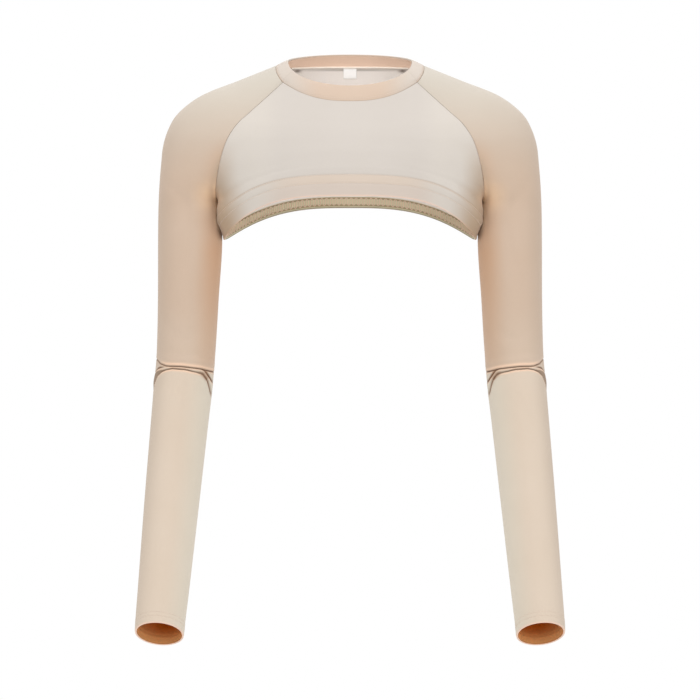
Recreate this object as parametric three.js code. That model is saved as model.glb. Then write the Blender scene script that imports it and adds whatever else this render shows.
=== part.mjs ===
// Arm sleeve shrug: two long raglan arm sleeves joined by a cropped front panel, a cropped back panel and a
// neck band, standing in the form it takes when worn, with the elbows a little bent.
// Millimetres, +Z up. The front faces -Y, and the origin is the middle of the neck opening, where it hangs.

import * as THREE from "three";

// Cloth thicknesses and sewing allowances
const WALL = 1.0;
const HEM_WALL = 1.8;
const BAND_WALL = 2.2;
const LABEL_WALL = 1.0;
const SEAM_GAP = 0.35;
const BAND_GAP = 0.8;

// Mesh columns: around a sleeve, and across a body panel
const SLEEVE_COLUMNS = 22;
const PANEL_COLUMNS = 18;

// Neck band: the rim is an oval that is lowest in front and highest behind
const RIM = { halfWidth: 70, middleY: -3, front: 58, back: 54, frontZ: -18.3, sideZ: 16, backZ: 30 };
const BAND_BOW = 1.2;
const BAND_ROWS = 2;

// Woven neck label: it hangs from the neck seam against the inside of the back panel
const LABEL = { width: 15, drop: 13, columns: 4, rows: 3, below: 1.2, clear: 0.35 };

// Sleeve sections from the cuff up to the neck. Inner and outer are the ends of a section across the arm,
// midY and depth its middle and half depth, and pitch its forward tilt in degrees. Above the armpit a section
// is open towards the body: open is half the missing angle. The count is of mesh rows up to the next section.
const SLEEVE = table(
  ["name", "count", "innerX", "innerZ", "outerX", "outerZ", "midY", "depth", "pitch", "open"],
  [
    ["cuff", 1, 178.0, -616.0, 230.2, -613.5, -137, 32.5, 29, 0],
    ["cuff_hem", 2, 177.2, -604.5, 230.2, -601.0, -130, 32.6, 29, 0],
    ["wrist", 2, 174.7, -577.5, 229.2, -572.5, -116, 33.0, 29, 0],
    ["mid_forearm", 3, 166.8, -484.0, 226.4, -478.5, -65, 35.5, 29, 0],
    ["upper_forearm", 4, 158.8, -388.0, 222.8, -382.5, -14, 37.5, 29, 0],
    ["lower_elbow", 6, 155.6, -351.0, 221.4, -346.0, 6, 38.0, 27, 0],
    ["upper_elbow", 5, 154.2, -331.5, 219.8, -324.0, 11, 38.5, 3, 0],
    ["above_elbow", 3, 151.8, -300.5, 218.6, -298.5, 10, 39.0, -2, 0],
    ["mid_upper_arm", 3, 149.0, -255.0, 217.6, -253.0, 8, 40.5, -2.5, 0],
    ["under_armpit", 2, 144.6, -180.5, 217.1, -179.5, 5, 43.0, -2, 0],
    ["armpit", 1, 146.6, -150.0, 216.6, -150.0, 4, 44.0, 0, 0],
    ["armpit_fold", 1, 150.2, -138.5, 215.9, -134.0, 3, 46.0, -1, 30],
    ["arm_crease", 1, 149.5, -126.0, 214.9, -118.5, 2, 49.0, -3, 55],
    ["deltoid", 1, 146.3, -107.0, 213.3, -100.0, 1, 54.0, -5, 78],
    ["shoulder_side", 2, 141.0, -84.0, 211.0, -80.0, 0, 59.0, -7, 92],
    ["shoulder_turn", 2, 134.8, -66.5, 205.6, -62.5, -1, 62.0, -9, 100],
    ["shoulder_top", 2, 125.0, -50.0, 195.5, -45.0, -1.5, 60.0, -11, 104],
    ["collarbone", 2, 112.5, -36.0, 171.0, -25.6, -2, 54.0, -14, 103],
    ["neck_slope", 2, 95.5, -18.8, 127.0, -8.2, -2, 43.5, -18, 98],
    ["neck", 0, 75.3, -0.4, 84.0, 8.0, -2, 31.7, -21.5, 92],
  ],
);

// Creases where the bent elbow gathers the sleeve. Front, outer and inner are the heights of a crease line at
// the front, the outside and the inside of the arm. A negative depth is a roll of cloth that stands proud.
const ELBOW_FOLDS = table(
  ["name", "front", "outer", "inner", "depth", "width"],
  [
    ["upper_roll", -321.5, -313.0, -327.0, -1.6, 6.0],
    ["upper_crease", -328.4, -321.6, -335.0, 2.6, 2.8],
    ["middle_roll", -330.0, -328.0, -339.0, -1.0, 3.0],
    ["middle_crease", -331.0, -335.0, -344.0, 1.4, 2.8],
    ["lower_roll", -332.5, -345.0, -351.0, -1.0, 4.0],
    ["lower_crease", -334.5, -354.0, -358.5, 2.6, 2.8],
  ],
);
const FOLD_FADE = { none: -0.45, full: 0.85 };

// Where the front and back panels meet under the arm
const SIDE_SEAM = table(
  ["name", "x", "y", "z"],
  [
    ["hem", 141.8, 4, -186],
    ["hem_line", 144.2, 4, -163.5],
  ],
);

// Each body panel, from the hem up to the neck: its middle line, the angle that it wraps round the body, and
// how steeply its rows drop towards the sides.
const FRONT_PANEL = table(
  ["name", "middleY", "middleZ", "wrap", "drop"],
  [
    ["hem", -103.0, -143.5, 90, 2.9],
    ["hem_line", -105.0, -121.5, 90, 2.8],
    ["armpit", -105.0, -113.0, 89, 2.7],
    ["armpit_fold", -104.0, -107.0, 80, 2.6],
    ["arm_crease", -103.0, -101.0, 71, 2.5],
    ["deltoid", -101.5, -93.5, 61, 2.4],
    ["shoulder_side", -98.5, -85.0, 52, 2.3],
    ["shoulder_turn", -95.5, -77.5, 46, 2.25],
    ["shoulder_top", -91.5, -69.5, 43, 2.25],
    ["collarbone", -86.0, -60.5, 45, 2.3],
    ["neck_slope", -79.5, -50.0, 53, 2.4],
    ["neck", -71.0, -37.1, 63.7, 2.45],
  ],
);
const BACK_PANEL = table(
  ["name", "middleY", "middleZ", "wrap", "drop"],
  [
    ["hem", 92.0, -145.0, 90, 2.85],
    ["hem_line", 93.0, -123.0, 90, 2.75],
    ["armpit", 93.0, -110.0, 89, 2.6],
    ["armpit_fold", 93.0, -101.0, 80, 2.45],
    ["arm_crease", 92.5, -90.0, 71, 2.4],
    ["deltoid", 91.5, -75.0, 62, 2.35],
    ["shoulder_side", 89.5, -58.0, 54, 2.3],
    ["shoulder_turn", 86.5, -44.0, 48, 2.25],
    ["shoulder_top", 82.5, -30.0, 45, 2.25],
    ["collarbone", 77.0, -16.0, 47, 2.3],
    ["neck_slope", 70.0, -1.0, 54, 2.4],
    ["neck", 62.0, 14.0, 63.7, 2.45],
  ],
);

const FINISHES = {
  sleeve: { color: 0xd9c4ae, roughness: 0.75, metalness: 0 },
  panel: { color: 0xdfd6cc, roughness: 0.75, metalness: 0 },
  band: { color: 0xe4cfbd, roughness: 0.8, metalness: 0 },
  label: { color: 0xf4f3f1, roughness: 0.6, metalness: 0 },
};

// A short table with named columns: each row becomes an object.
function table(columns, rows) {
  return rows.map((row) => Object.fromEntries(row.map((value, i) => [columns[i], value])));
}

const rowNamed = (rows, name) => rows.find((row) => row.name === name);
const radians = THREE.MathUtils.degToRad;

// Reads a table smoothly between its rows, which lie at the given places along the piece.
function smoothTable(rows, places) {
  const columns = Object.keys(rows[0]).filter((column) => column !== "name");
  const values = rows.flatMap((row) => columns.map((column) => row[column]));
  const spline = new THREE.CubicInterpolant(places, values, columns.length);
  return (place) => {
    const read = spline.evaluate(place);
    return Object.fromEntries(columns.map((column, i) => [column, read[i]]));
  };
}

// The middle of a sleeve section.
function sectionMiddle(section) {
  const x = (section.innerX + section.outerX) / 2;
  return new THREE.Vector3(x, section.midY, (section.innerZ + section.outerZ) / 2);
}

// The place of each sleeve section: its distance from the cuff along the middle of the sleeve.
function sectionPlaces() {
  const places = [0];
  for (let i = 1; i < SLEEVE.length; i++) {
    const step = sectionMiddle(SLEEVE[i]).distanceTo(sectionMiddle(SLEEVE[i - 1]));
    places.push(places[i - 1] + step);
  }
  return places;
}

const PLACES = sectionPlaces();
const placeOf = (name) => PLACES[SLEEVE.findIndex((section) => section.name === name)];
const sleeveAt = smoothTable(SLEEVE, PLACES);

// The angle round a section at a share of the way from the front seam to the back seam: 0 is towards the body,
// a quarter turn is the front and half a turn is the outside of the arm.
function sectionAngle(section, share) {
  const open = radians(section.open);
  return open + share * 2 * (Math.PI - open);
}

// A point of a smooth sleeve section, which is an ellipse that may be cut short at the raglan seams.
function sectionPoint(section, share) {
  const open = radians(section.open);
  const angle = sectionAngle(section, share);
  const seam = new THREE.Vector3(section.innerX, section.midY, section.innerZ);
  const across = new THREE.Vector3(section.outerX, section.midY, section.outerZ).sub(seam);
  const reach = (Math.cos(open) - Math.cos(angle)) / (1 + Math.cos(open));
  const pitch = radians(section.pitch);
  const backwards = new THREE.Vector3(0, Math.cos(pitch), -Math.sin(pitch));
  return seam.addScaledVector(across, reach).addScaledVector(backwards, -section.depth * Math.sin(angle));
}

// How far the elbow's creases draw a point of the sleeve inwards.
function creaseDepth(point, angle) {
  const front = Math.sin(angle);
  const outside = -Math.cos(angle);
  const fade = THREE.MathUtils.smoothstep(front, FOLD_FADE.none, FOLD_FADE.full);
  let depth = 0;
  for (const fold of ELBOW_FOLDS) {
    const side = (fold.outer + fold.inner) / 2 + (outside * (fold.outer - fold.inner)) / 2;
    const line = side + Math.max(front, 0) * (fold.front - (fold.outer + fold.inner) / 2);
    const off = (point.z - line) / fold.width;
    depth += fade * fold.depth * Math.exp(-off * off);
  }
  return depth;
}

// A point of the sleeve with its elbow creases.
function sleevePoint(section, share) {
  const point = sectionPoint(section, share);
  const outwards = point.clone().sub(sectionMiddle(section)).normalize();
  return point.addScaledVector(outwards, -creaseDepth(point, sectionAngle(section, share)));
}

// The places of the sleeve's mesh rows, from the cuff to the neck.
function sleeveRowPlaces() {
  const rows = [];
  for (let i = 0; i + 1 < SLEEVE.length; i++) {
    for (let step = 0; step < SLEEVE[i].count; step++) {
      rows.push(THREE.MathUtils.lerp(PLACES[i], PLACES[i + 1], step / SLEEVE[i].count));
    }
  }
  return [...rows, PLACES.at(-1)];
}

const ROW_PLACES = sleeveRowPlaces();
const RAGLAN_PLACES = ROW_PLACES.filter((place) => place > placeOf("armpit") + SEAM_GAP);

// Mirrors a point to the wearer's other side.
const onSide = (point, side) => new THREE.Vector3(point.x * side, point.y, point.z);

// A solid of cloth: the sheet's points are its outer face, and each wall is its thickness there, inwards.
// Quads list their corners anticlockwise as seen from outside.
function clothSolid(points, walls, quads) {
  const normals = points.map(() => new THREE.Vector3());
  const edges = new Map();
  for (const corners of quads) {
    const [a, b, c, d] = corners.map((corner) => points[corner]);
    const normal = c.clone().sub(a).cross(d.clone().sub(b));
    corners.forEach((corner, i) => {
      normals[corner].add(normal);
      edges.set(`${corner},${corners[(i + 1) % 4]}`, [corner, corners[(i + 1) % 4]]);
    });
  }
  const inside = points.map((point, i) => {
    return point.clone().addScaledVector(normals[i].normalize(), -walls[i]);
  });
  const triangles = [];
  const count = points.length;
  for (const [a, b, c, d] of quads) {
    triangles.push(a, b, c, a, c, d);
    triangles.push(a + count, c + count, b + count, a + count, d + count, c + count);
  }
  for (const [from, to] of edges.values()) {
    const isRim = !edges.has(`${to},${from}`);
    if (isRim) triangles.push(to, from, from + count, to, from + count, to + count);
  }
  const positions = [...points, ...inside].flatMap((point) => point.toArray());
  const geometry = new THREE.BufferGeometry();
  geometry.setAttribute("position", new THREE.Float32BufferAttribute(positions, 3));
  return geometry.setIndex(triangles);
}

// The quads of a grid of rows, each row a list of point numbers, in the right order for either face.
function gridQuads(rows, turned) {
  const quads = [];
  for (let r = 0; r + 1 < rows.length; r++) {
    for (let c = 0; c + 1 < rows[r].length; c++) {
      const quad = [rows[r][c], rows[r][c + 1], rows[r + 1][c + 1], rows[r + 1][c]];
      quads.push(turned ? quad.reverse() : quad);
    }
  }
  return quads;
}

// A raglan sleeve: a tube from the cuff to the armpit, then open towards the body up to the neck.
function sleeve(side) {
  const points = [];
  const walls = [];
  const rows = ROW_PLACES.map((place) => {
    const section = sleeveAt(place);
    const closed = place <= placeOf("armpit") + SEAM_GAP;
    const wall = place <= placeOf("cuff_hem") ? HEM_WALL : WALL;
    const row = [];
    for (let c = 0; c < SLEEVE_COLUMNS + (closed ? 0 : 1); c++) {
      row.push(points.length);
      points.push(onSide(sleevePoint(section, c / SLEEVE_COLUMNS), side));
      walls.push(wall);
    }
    return closed ? [...row, row[0]] : row;
  });
  return clothSolid(points, walls, gridQuads(rows, side < 0));
}

// The edge and middle of each row of a body panel, from the hem to the neck. Facing is -1 at the front.
function panelRows(panel, facing) {
  const seamShare = facing < 0 ? 0 : 1;
  const below = SIDE_SEAM.map((seam) => {
    const edge = new THREE.Vector3(seam.x, seam.y + facing * SEAM_GAP, seam.z);
    return { edge, ...rowNamed(panel, seam.name) };
  });
  const raglan = panel.filter((row) => SLEEVE.some((section) => section.name === row.name));
  const panelAt = smoothTable(raglan, raglan.map((row) => placeOf(row.name)));
  const above = [placeOf("armpit"), ...RAGLAN_PLACES].map((place, i) => {
    const edge = sectionPoint(sleeveAt(place), seamShare);
    edge.x -= SEAM_GAP;
    if (i === 0) edge.add(new THREE.Vector3(-SEAM_GAP, facing * SEAM_GAP, -SEAM_GAP));
    return { edge, ...panelAt(place) };
  });
  return [...below, ...above];
}

// A point of a body panel's row: across runs from -1 at one seam to 1 at the other.
function panelPoint(row, across) {
  const wrap = radians(row.wrap);
  const angle = across * wrap;
  const sideways = Math.sin(angle) / Math.sin(wrap);
  const towardsMiddle = (Math.cos(angle) - Math.cos(wrap)) / (1 - Math.cos(wrap));
  return new THREE.Vector3(
    row.edge.x * sideways,
    THREE.MathUtils.lerp(row.edge.y, row.middleY, towardsMiddle),
    THREE.MathUtils.lerp(row.middleZ, row.edge.z, Math.abs(sideways) ** row.drop),
  );
}

const acrossOf = (column) => (2 * column) / PANEL_COLUMNS - 1;

// A body panel from the turned hem up to the neck seam.
function bodyPanel(rowsOfPanel, facing) {
  const points = [];
  const walls = [];
  const rows = rowsOfPanel.map((row, r) => {
    const numbers = [];
    for (let c = 0; c <= PANEL_COLUMNS; c++) {
      numbers.push(points.length);
      points.push(panelPoint(row, acrossOf(c)));
      walls.push(r < SIDE_SEAM.length ? HEM_WALL : WALL);
    }
    return numbers;
  });
  return clothSolid(points, walls, gridQuads(rows, facing > 0));
}

const frontRows = panelRows(FRONT_PANEL, -1);
const backRows = panelRows(BACK_PANEL, 1);

// The neck seam: once round the neck edges of the panels and the sleeves, anticlockwise from above.
function neckSeam() {
  const neck = sleeveAt(placeOf("neck"));
  const panelColumns = Array.from({ length: PANEL_COLUMNS + 1 }, (_, c) => acrossOf(c));
  const shares = Array.from({ length: SLEEVE_COLUMNS - 1 }, (_, c) => (c + 1) / SLEEVE_COLUMNS);
  return [
    ...panelColumns.map((across) => panelPoint(frontRows.at(-1), across)),
    ...shares.map((share) => sectionPoint(neck, share)),
    ...panelColumns.map((across) => panelPoint(backRows.at(-1), -across)),
    ...shares.map((share) => onSide(sectionPoint(neck, 1 - share), -1)),
  ];
}

// The point of the neck band's rim that lies above a point of the neck seam.
function rimPoint(seam) {
  const behind = seam.y > RIM.middleY;
  const depth = behind ? RIM.back : RIM.front;
  const angle = Math.atan2((seam.y - RIM.middleY) / depth, seam.x / RIM.halfWidth);
  const endZ = behind ? RIM.backZ : RIM.frontZ;
  return new THREE.Vector3(
    RIM.halfWidth * Math.cos(angle),
    RIM.middleY + depth * Math.sin(angle),
    THREE.MathUtils.lerp(RIM.sideZ, endZ, Math.abs(Math.sin(angle))),
  );
}

// The neck band: a folded strip that leans in from the neck seam to its rim, a little bowed.
function neckBand() {
  const seam = neckSeam();
  const points = [];
  const rows = [];
  for (let r = 0; r <= BAND_ROWS; r++) {
    const row = seam.map((start) => {
      const rise = rimPoint(start).sub(start);
      const share = THREE.MathUtils.lerp(BAND_GAP / rise.length(), 1, r / BAND_ROWS);
      const bow = new THREE.Vector3(start.x, start.y, 0).setLength(BAND_BOW * 4 * share * (1 - share));
      points.push(start.clone().addScaledVector(rise, share).add(bow));
      return points.length - 1;
    });
    rows.push([...row, row[0]]);
  }
  return clothSolid(points, points.map(() => BAND_WALL), gridQuads(rows, false));
}

// The blank neck label, which follows the back panel just below the neck seam.
function neckLabel() {
  const [upper, lower] = [backRows.at(-1), backRows.at(-3)];
  const inwards = new THREE.Vector3(0, -(WALL + LABEL.clear + LABEL_WALL), 0);
  const slope = panelPoint(upper, 0).distanceTo(panelPoint(lower, 0));
  const points = [];
  const rows = [];
  for (let r = 0; r <= LABEL.rows; r++) {
    const drop = LABEL.below + LABEL.drop * (1 - r / LABEL.rows);
    rows.push([]);
    for (let c = 0; c <= LABEL.columns; c++) {
      const x = LABEL.width * (c / LABEL.columns - 0.5);
      const across = x / upper.edge.x;
      const top = panelPoint(upper, across);
      const point = top.lerp(panelPoint(lower, across), drop / slope).add(inwards);
      rows.at(-1).push(points.length);
      points.push(point.setX(x));
    }
  }
  return clothSolid(points, points.map(() => LABEL_WALL), gridQuads(rows, false));
}

function piece(name, geometry, finish) {
  const mesh = new THREE.Mesh(geometry, new THREE.MeshStandardMaterial(FINISHES[finish]));
  mesh.name = name;
  return mesh;
}

const yoke = new THREE.Group();
yoke.add(piece("front_panel", bodyPanel(frontRows, -1), "panel"));
yoke.add(piece("back_panel", bodyPanel(backRows, 1), "panel"));
yoke.add(piece("neck_band", neckBand(), "band"));
yoke.add(piece("neck_label", neckLabel(), "label"));

// Left and right are the wearer's, so the left sleeve is on +X.
const sleeves = new THREE.Group();
sleeves.add(piece("left_sleeve", sleeve(1), "sleeve"));
sleeves.add(piece("right_sleeve", sleeve(-1), "sleeve"));

const shrug = new THREE.Group();
shrug.add(yoke, sleeves);

export default shrug;
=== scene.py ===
"""Dresses the arm sleeve shrug: knitted cloth, turned hems, a folded neck band, stitching and a blank label.

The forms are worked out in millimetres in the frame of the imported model, +Z up and the wearer's front towards
-Y, and become metres when a mesh is made.
"""

from __future__ import annotations

import logging
import math
from dataclasses import dataclass, field
from enum import Enum
from typing import Sequence, Union

import bpy
import numpy as np
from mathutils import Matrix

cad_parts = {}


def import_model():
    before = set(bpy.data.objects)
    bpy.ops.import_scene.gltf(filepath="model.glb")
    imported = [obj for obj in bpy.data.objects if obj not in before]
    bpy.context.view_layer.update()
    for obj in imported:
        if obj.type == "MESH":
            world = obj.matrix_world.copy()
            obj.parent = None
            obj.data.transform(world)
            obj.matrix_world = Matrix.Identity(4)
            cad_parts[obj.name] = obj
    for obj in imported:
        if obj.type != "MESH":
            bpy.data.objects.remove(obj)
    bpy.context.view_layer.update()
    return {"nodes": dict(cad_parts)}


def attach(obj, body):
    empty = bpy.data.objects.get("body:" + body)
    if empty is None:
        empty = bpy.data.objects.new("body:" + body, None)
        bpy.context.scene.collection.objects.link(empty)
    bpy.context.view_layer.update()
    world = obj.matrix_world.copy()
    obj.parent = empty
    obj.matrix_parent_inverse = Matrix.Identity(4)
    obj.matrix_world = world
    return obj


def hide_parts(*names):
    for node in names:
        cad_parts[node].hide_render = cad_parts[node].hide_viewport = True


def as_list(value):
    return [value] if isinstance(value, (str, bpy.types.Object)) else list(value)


LOG = logging.getLogger("arm_sleeve_shrug")
MM = 0.001
CLOTH_WALL, TURNED_WALL = 0.9, 1.7
STITCH_PITCH = 2.9
STITCH_LIFT = 0.1

Array = np.ndarray
Colour = tuple[float, float, float]
Stops = Sequence[tuple[float, float]]


class Side(Enum):
    """The wearer's left, on +X, or right."""

    LEFT = 1
    RIGHT = -1


class Facing(Enum):
    """The front of the garment, towards -Y, or its back."""

    FRONT = -1
    BACK = 1


class Face(Enum):
    """The smooth outer face of a jersey knit, or its purled inner face."""

    RIGHT = "right"
    WRONG = "wrong"


def unit(vectors: Array) -> Array:
    """Returns the vectors, along the last axis, at length one."""
    return vectors / np.maximum(np.linalg.norm(vectors, axis=-1, keepdims=True), 1e-9)


def level_outwards(points: Array) -> Array:
    """Returns the level direction to each point from the garment's upright axis."""
    return unit(points * [1.0, 1.0, 0.0])


def smoothstep(values: Array, low: float, high: float) -> Array:
    """Returns 0 below low, 1 above high and a smooth rise between them."""
    share = np.clip((values - low) / (high - low), 0.0, 1.0)
    return share * share * (3.0 - 2.0 * share)


def plateau(values: Array, rise: tuple[float, float], fall: tuple[float, float]) -> Array:
    """Returns 1 between a smooth rise and a smooth fall, and 0 outside them."""
    return smoothstep(values, *rise) * (1.0 - smoothstep(values, *fall))


def bell(values: Array, width: float) -> Array:
    """Returns a smooth bump that is 1 at zero and fades over the width."""
    return np.exp(-((values / width) ** 2))


def graph(values: Array, stops: Stops) -> Array:
    """Returns what straight lines between stops, each a place and its number, give at the values."""
    return np.interp(values, *zip(*stops))


def puckers(along: Array, pitch: float, share: float) -> Array:
    """Returns how tightly stitches of this pitch draw the cloth in, 1 at most, varied by the share."""
    return 1.0 - share + share * np.cos(math.tau * along / pitch)


def read_rows(at: float | Array, places: Sequence[float] | Array, rows: Array) -> Array:
    """Returns rows of numbers read in straight lines at places between their own."""
    return np.stack([np.interp(at, places, column) for column in rows.T], axis=-1)


def arc_lengths(points: Array, axis: int) -> Array:
    """Measures a grid of points along one axis.

    Args:
        points: The grid, rows by columns by xyz.
        axis: 0 to measure up the columns, 1 to measure along the rows.

    Returns:
        The distance of each point from the start of its column or row.
    """
    steps = np.linalg.norm(np.diff(points, axis=axis), axis=-1)
    pad = [(1, 0), (0, 0)] if axis == 0 else [(0, 0), (1, 0)]
    return np.pad(np.cumsum(steps, axis=axis), pad)


def grid_normals(points: Array) -> Array:
    """Returns the unit normal at each point of a grid, rows by columns by xyz."""
    return unit(np.cross(np.gradient(points, axis=1), np.gradient(points, axis=0)))


def spread(stops: Sequence[float], steps: Sequence[float]) -> Array:
    """Spaces places between stops.

    Args:
        stops: The places where the spacing changes, in order.
        steps: The widest step allowed between each stop and the next.

    Returns:
        The places, every stop among them.
    """
    runs = [
        np.linspace(low, high, max(1, math.ceil((high - low) / step)), endpoint=False)
        for low, high, step in zip(stops, stops[1:], steps)
    ]
    return np.concatenate([*runs, [stops[-1]]])


@dataclass(frozen=True)
class FormTable:
    """A short table of sizes with named rows and columns, read smoothly between its rows.

    Attributes:
        columns: The names of the columns.
        rows: Each row's numbers, by the row's name.
    """

    columns: tuple[str, ...]
    rows: dict[str, tuple[float, ...]]

    def column(self, name: str) -> Array:
        """Returns one column's numbers."""
        return np.array([row[self.columns.index(name)] for row in self.rows.values()])

    def part(self, names: Sequence[str]) -> FormTable:
        """Returns the table with only some of its rows."""
        return FormTable(self.columns, {name: self.rows[name] for name in names})

    def read(self, places: Array, at: Array) -> dict[str, Array]:
        """Reads every column between the rows.

        Args:
            places: The place of each row along the piece.
            at: The places to read.

        Returns:
            Each column's values at those places.
        """
        last = len(places) - 1
        right = np.clip(np.searchsorted(places, at, side="right"), 1, last)
        left = right - 1
        before = np.where(left == 0, right, left - 1)
        after = np.where(right == last, left, np.minimum(right + 1, last))
        half = (places[right] - places[left]) / 2
        pull = half / (places[left] - places[before])
        push = half / (places[after] - places[right])
        p = (at - places[left]) / (2 * half)
        # The shares of the four rows nearest to each place, on a smooth curve through all the rows.
        weights = (
            (before, -pull * p**3 + 2 * pull * p**2 - pull * p),
            (left, (1 + pull) * p**3 - (1.5 + 2 * pull) * p**2 + (pull - 0.5) * p + 1),
            (right, -(1 + push) * p**3 + (1.5 + push) * p**2 + 0.5 * p),
            (after, push * p**3 - push * p**2),
        )
        return {c: sum(self.column(c)[row] * weight for row, weight in weights) for c in self.columns}


@dataclass(frozen=True)
class ElbowFold:
    """One crease or roll of cloth across the front of the elbow, in millimetres.

    Attributes:
        line: Points along the fold: how far towards the outside of the arm, from -1 to 1, and the height.
        depth: How far it goes inwards, or outwards if negative.
        above: Its width above the line, at the front, the outside and the side towards the body.
        below: Its width below the line, at the same places.
        kept: How much of the depth it keeps at the same places.
        end: The heights that it swings to behind the outside and behind the body's side, if it does.
    """

    line: tuple[tuple[float, float], ...]
    depth: float
    above: tuple[float, float, float]
    below: tuple[float, float, float]
    kept: tuple[float, float, float]
    end: tuple[float, float] | None = None
    SWING = (-0.45, 0.15)
    SIDEWAYS = (0.5, 0.84)
    FADE = (-0.3, 0.3)
    OUTSIDE_FADE = (-0.05, 0.35)
    SHARPNESS = 1.6

    def moved(self, up: float, depth: float, width: float, kept: tuple[float, float, float]) -> ElbowFold:
        """Returns a fold that runs this far above this one, with its own depth, width and shares kept."""
        line = tuple((outside, height + up) for outside, height in self.line)
        return ElbowFold(line, depth, (width,) * 3, (width,) * 3, kept, self.end)

    def heights(self, angles: Array) -> Array:
        """Works out the height of the fold's line round the arm.

        Args:
            angles: Angles round the arm, 90 degrees being the front.

        Returns:
            The line's height at each angle.
        """
        stops = np.array(sorted(self.line))
        outside = -np.cos(angles)
        line = np.interp(outside, stops[:, 0], stops[:, 1])
        if self.end is None:
            return line
        end = np.where(outside > 0, *self.end)
        return end + smoothstep(np.sin(angles), *self.SWING) * (line - end)

    def shares(self, heights: Array, angles: Array) -> Array:
        """Works out how much of the fold's depth reaches points of the sleeve.

        Args:
            heights: The points' heights.
            angles: Their angles round the arm, 90 degrees being the front.

        Returns:
            The share at each point.
        """
        front, outside = np.sin(angles), -np.cos(angles)
        off = heights - self.heights(angles)
        sideways = smoothstep(np.abs(outside), *self.SIDEWAYS)
        above, below, kept = (
            at_front + sideways * (np.where(outside > 0, at_outside, at_body) - at_front)
            for at_front, at_outside, at_body in (self.above, self.below, self.kept)
        )
        reach = np.abs(off) / np.where(off > 0, above, below)
        fade = smoothstep(front, *self.FADE)
        if self.end is not None:
            fade = np.where(outside > 0, smoothstep(front, *self.OUTSIDE_FADE), fade)
        return kept * fade * np.exp(-(reach**self.SHARPNESS))


@dataclass(frozen=True)
class Dent:
    """A soft fold pressed into the cloth along a line, as seen from the front, in millimetres.

    Attributes:
        start: The x and z of one end of the line.
        end: The x and z of the other end.
        depth: How far it goes inwards, or outwards if negative.
        width: How far it spreads from its line.
    """

    start: tuple[float, float]
    end: tuple[float, float]
    depth: float
    width: float
    TIPS = (0.04, 0.96)
    TAPER = 0.6

    def depths(self, points: Array) -> Array:
        """Works out how far the dent draws the cloth inwards.

        Args:
            points: The cloth's points.

        Returns:
            The depth at each point.
        """
        start = np.array(self.start)
        along = np.array(self.end) - start
        offset = points[..., (0, 2)] - start
        share = offset @ along / (along @ along)
        apart = np.linalg.norm(offset - np.clip(share, 0, 1)[..., None] * along, axis=-1)
        fade = np.sin(np.pi * np.clip(share, *self.TIPS)) ** self.TAPER
        return self.depth * fade * bell(apart, self.width)


@dataclass(frozen=True)
class Hem:
    """A turned and coverstitched edge, in millimetres.

    Attributes:
        height: How high the turned cloth reaches.
        rows: How far above the edge each needle row lies.
        pitch: The length of one stitch.
        step: How proud the turned cloth stands.
        groove: How deep the needle rows draw the cloth in.
    """

    height: float
    rows: tuple[float, ...]
    pitch: float = STITCH_PITCH
    step: float = 0.45
    groove: float = 0.5
    STEP_START, STEP_END = -0.4, 1.8
    PUCKER = 0.25
    ROW_WIDTH = 1.0
    ROLL_DEPTH, ROLL_WIDTH = 0.35, 0.9

    def rise(self, above: Array, along: Array) -> Array:
        """Works out how proud the hem stands of the single cloth.

        Args:
            above: Each point's distance above the edge.
            along: Each point's distance along the edge.

        Returns:
            The distance outwards at each point.
        """
        step = 1.0 - smoothstep(above, self.height + self.STEP_START, self.height + self.STEP_END)
        proud = self.step * step
        for row in self.rows:
            drawn = self.groove * puckers(along, self.pitch, self.PUCKER)
            proud = proud - drawn * bell(above - row, self.ROW_WIDTH)
        return proud - self.ROLL_DEPTH * bell(above, self.ROLL_WIDTH)


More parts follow.
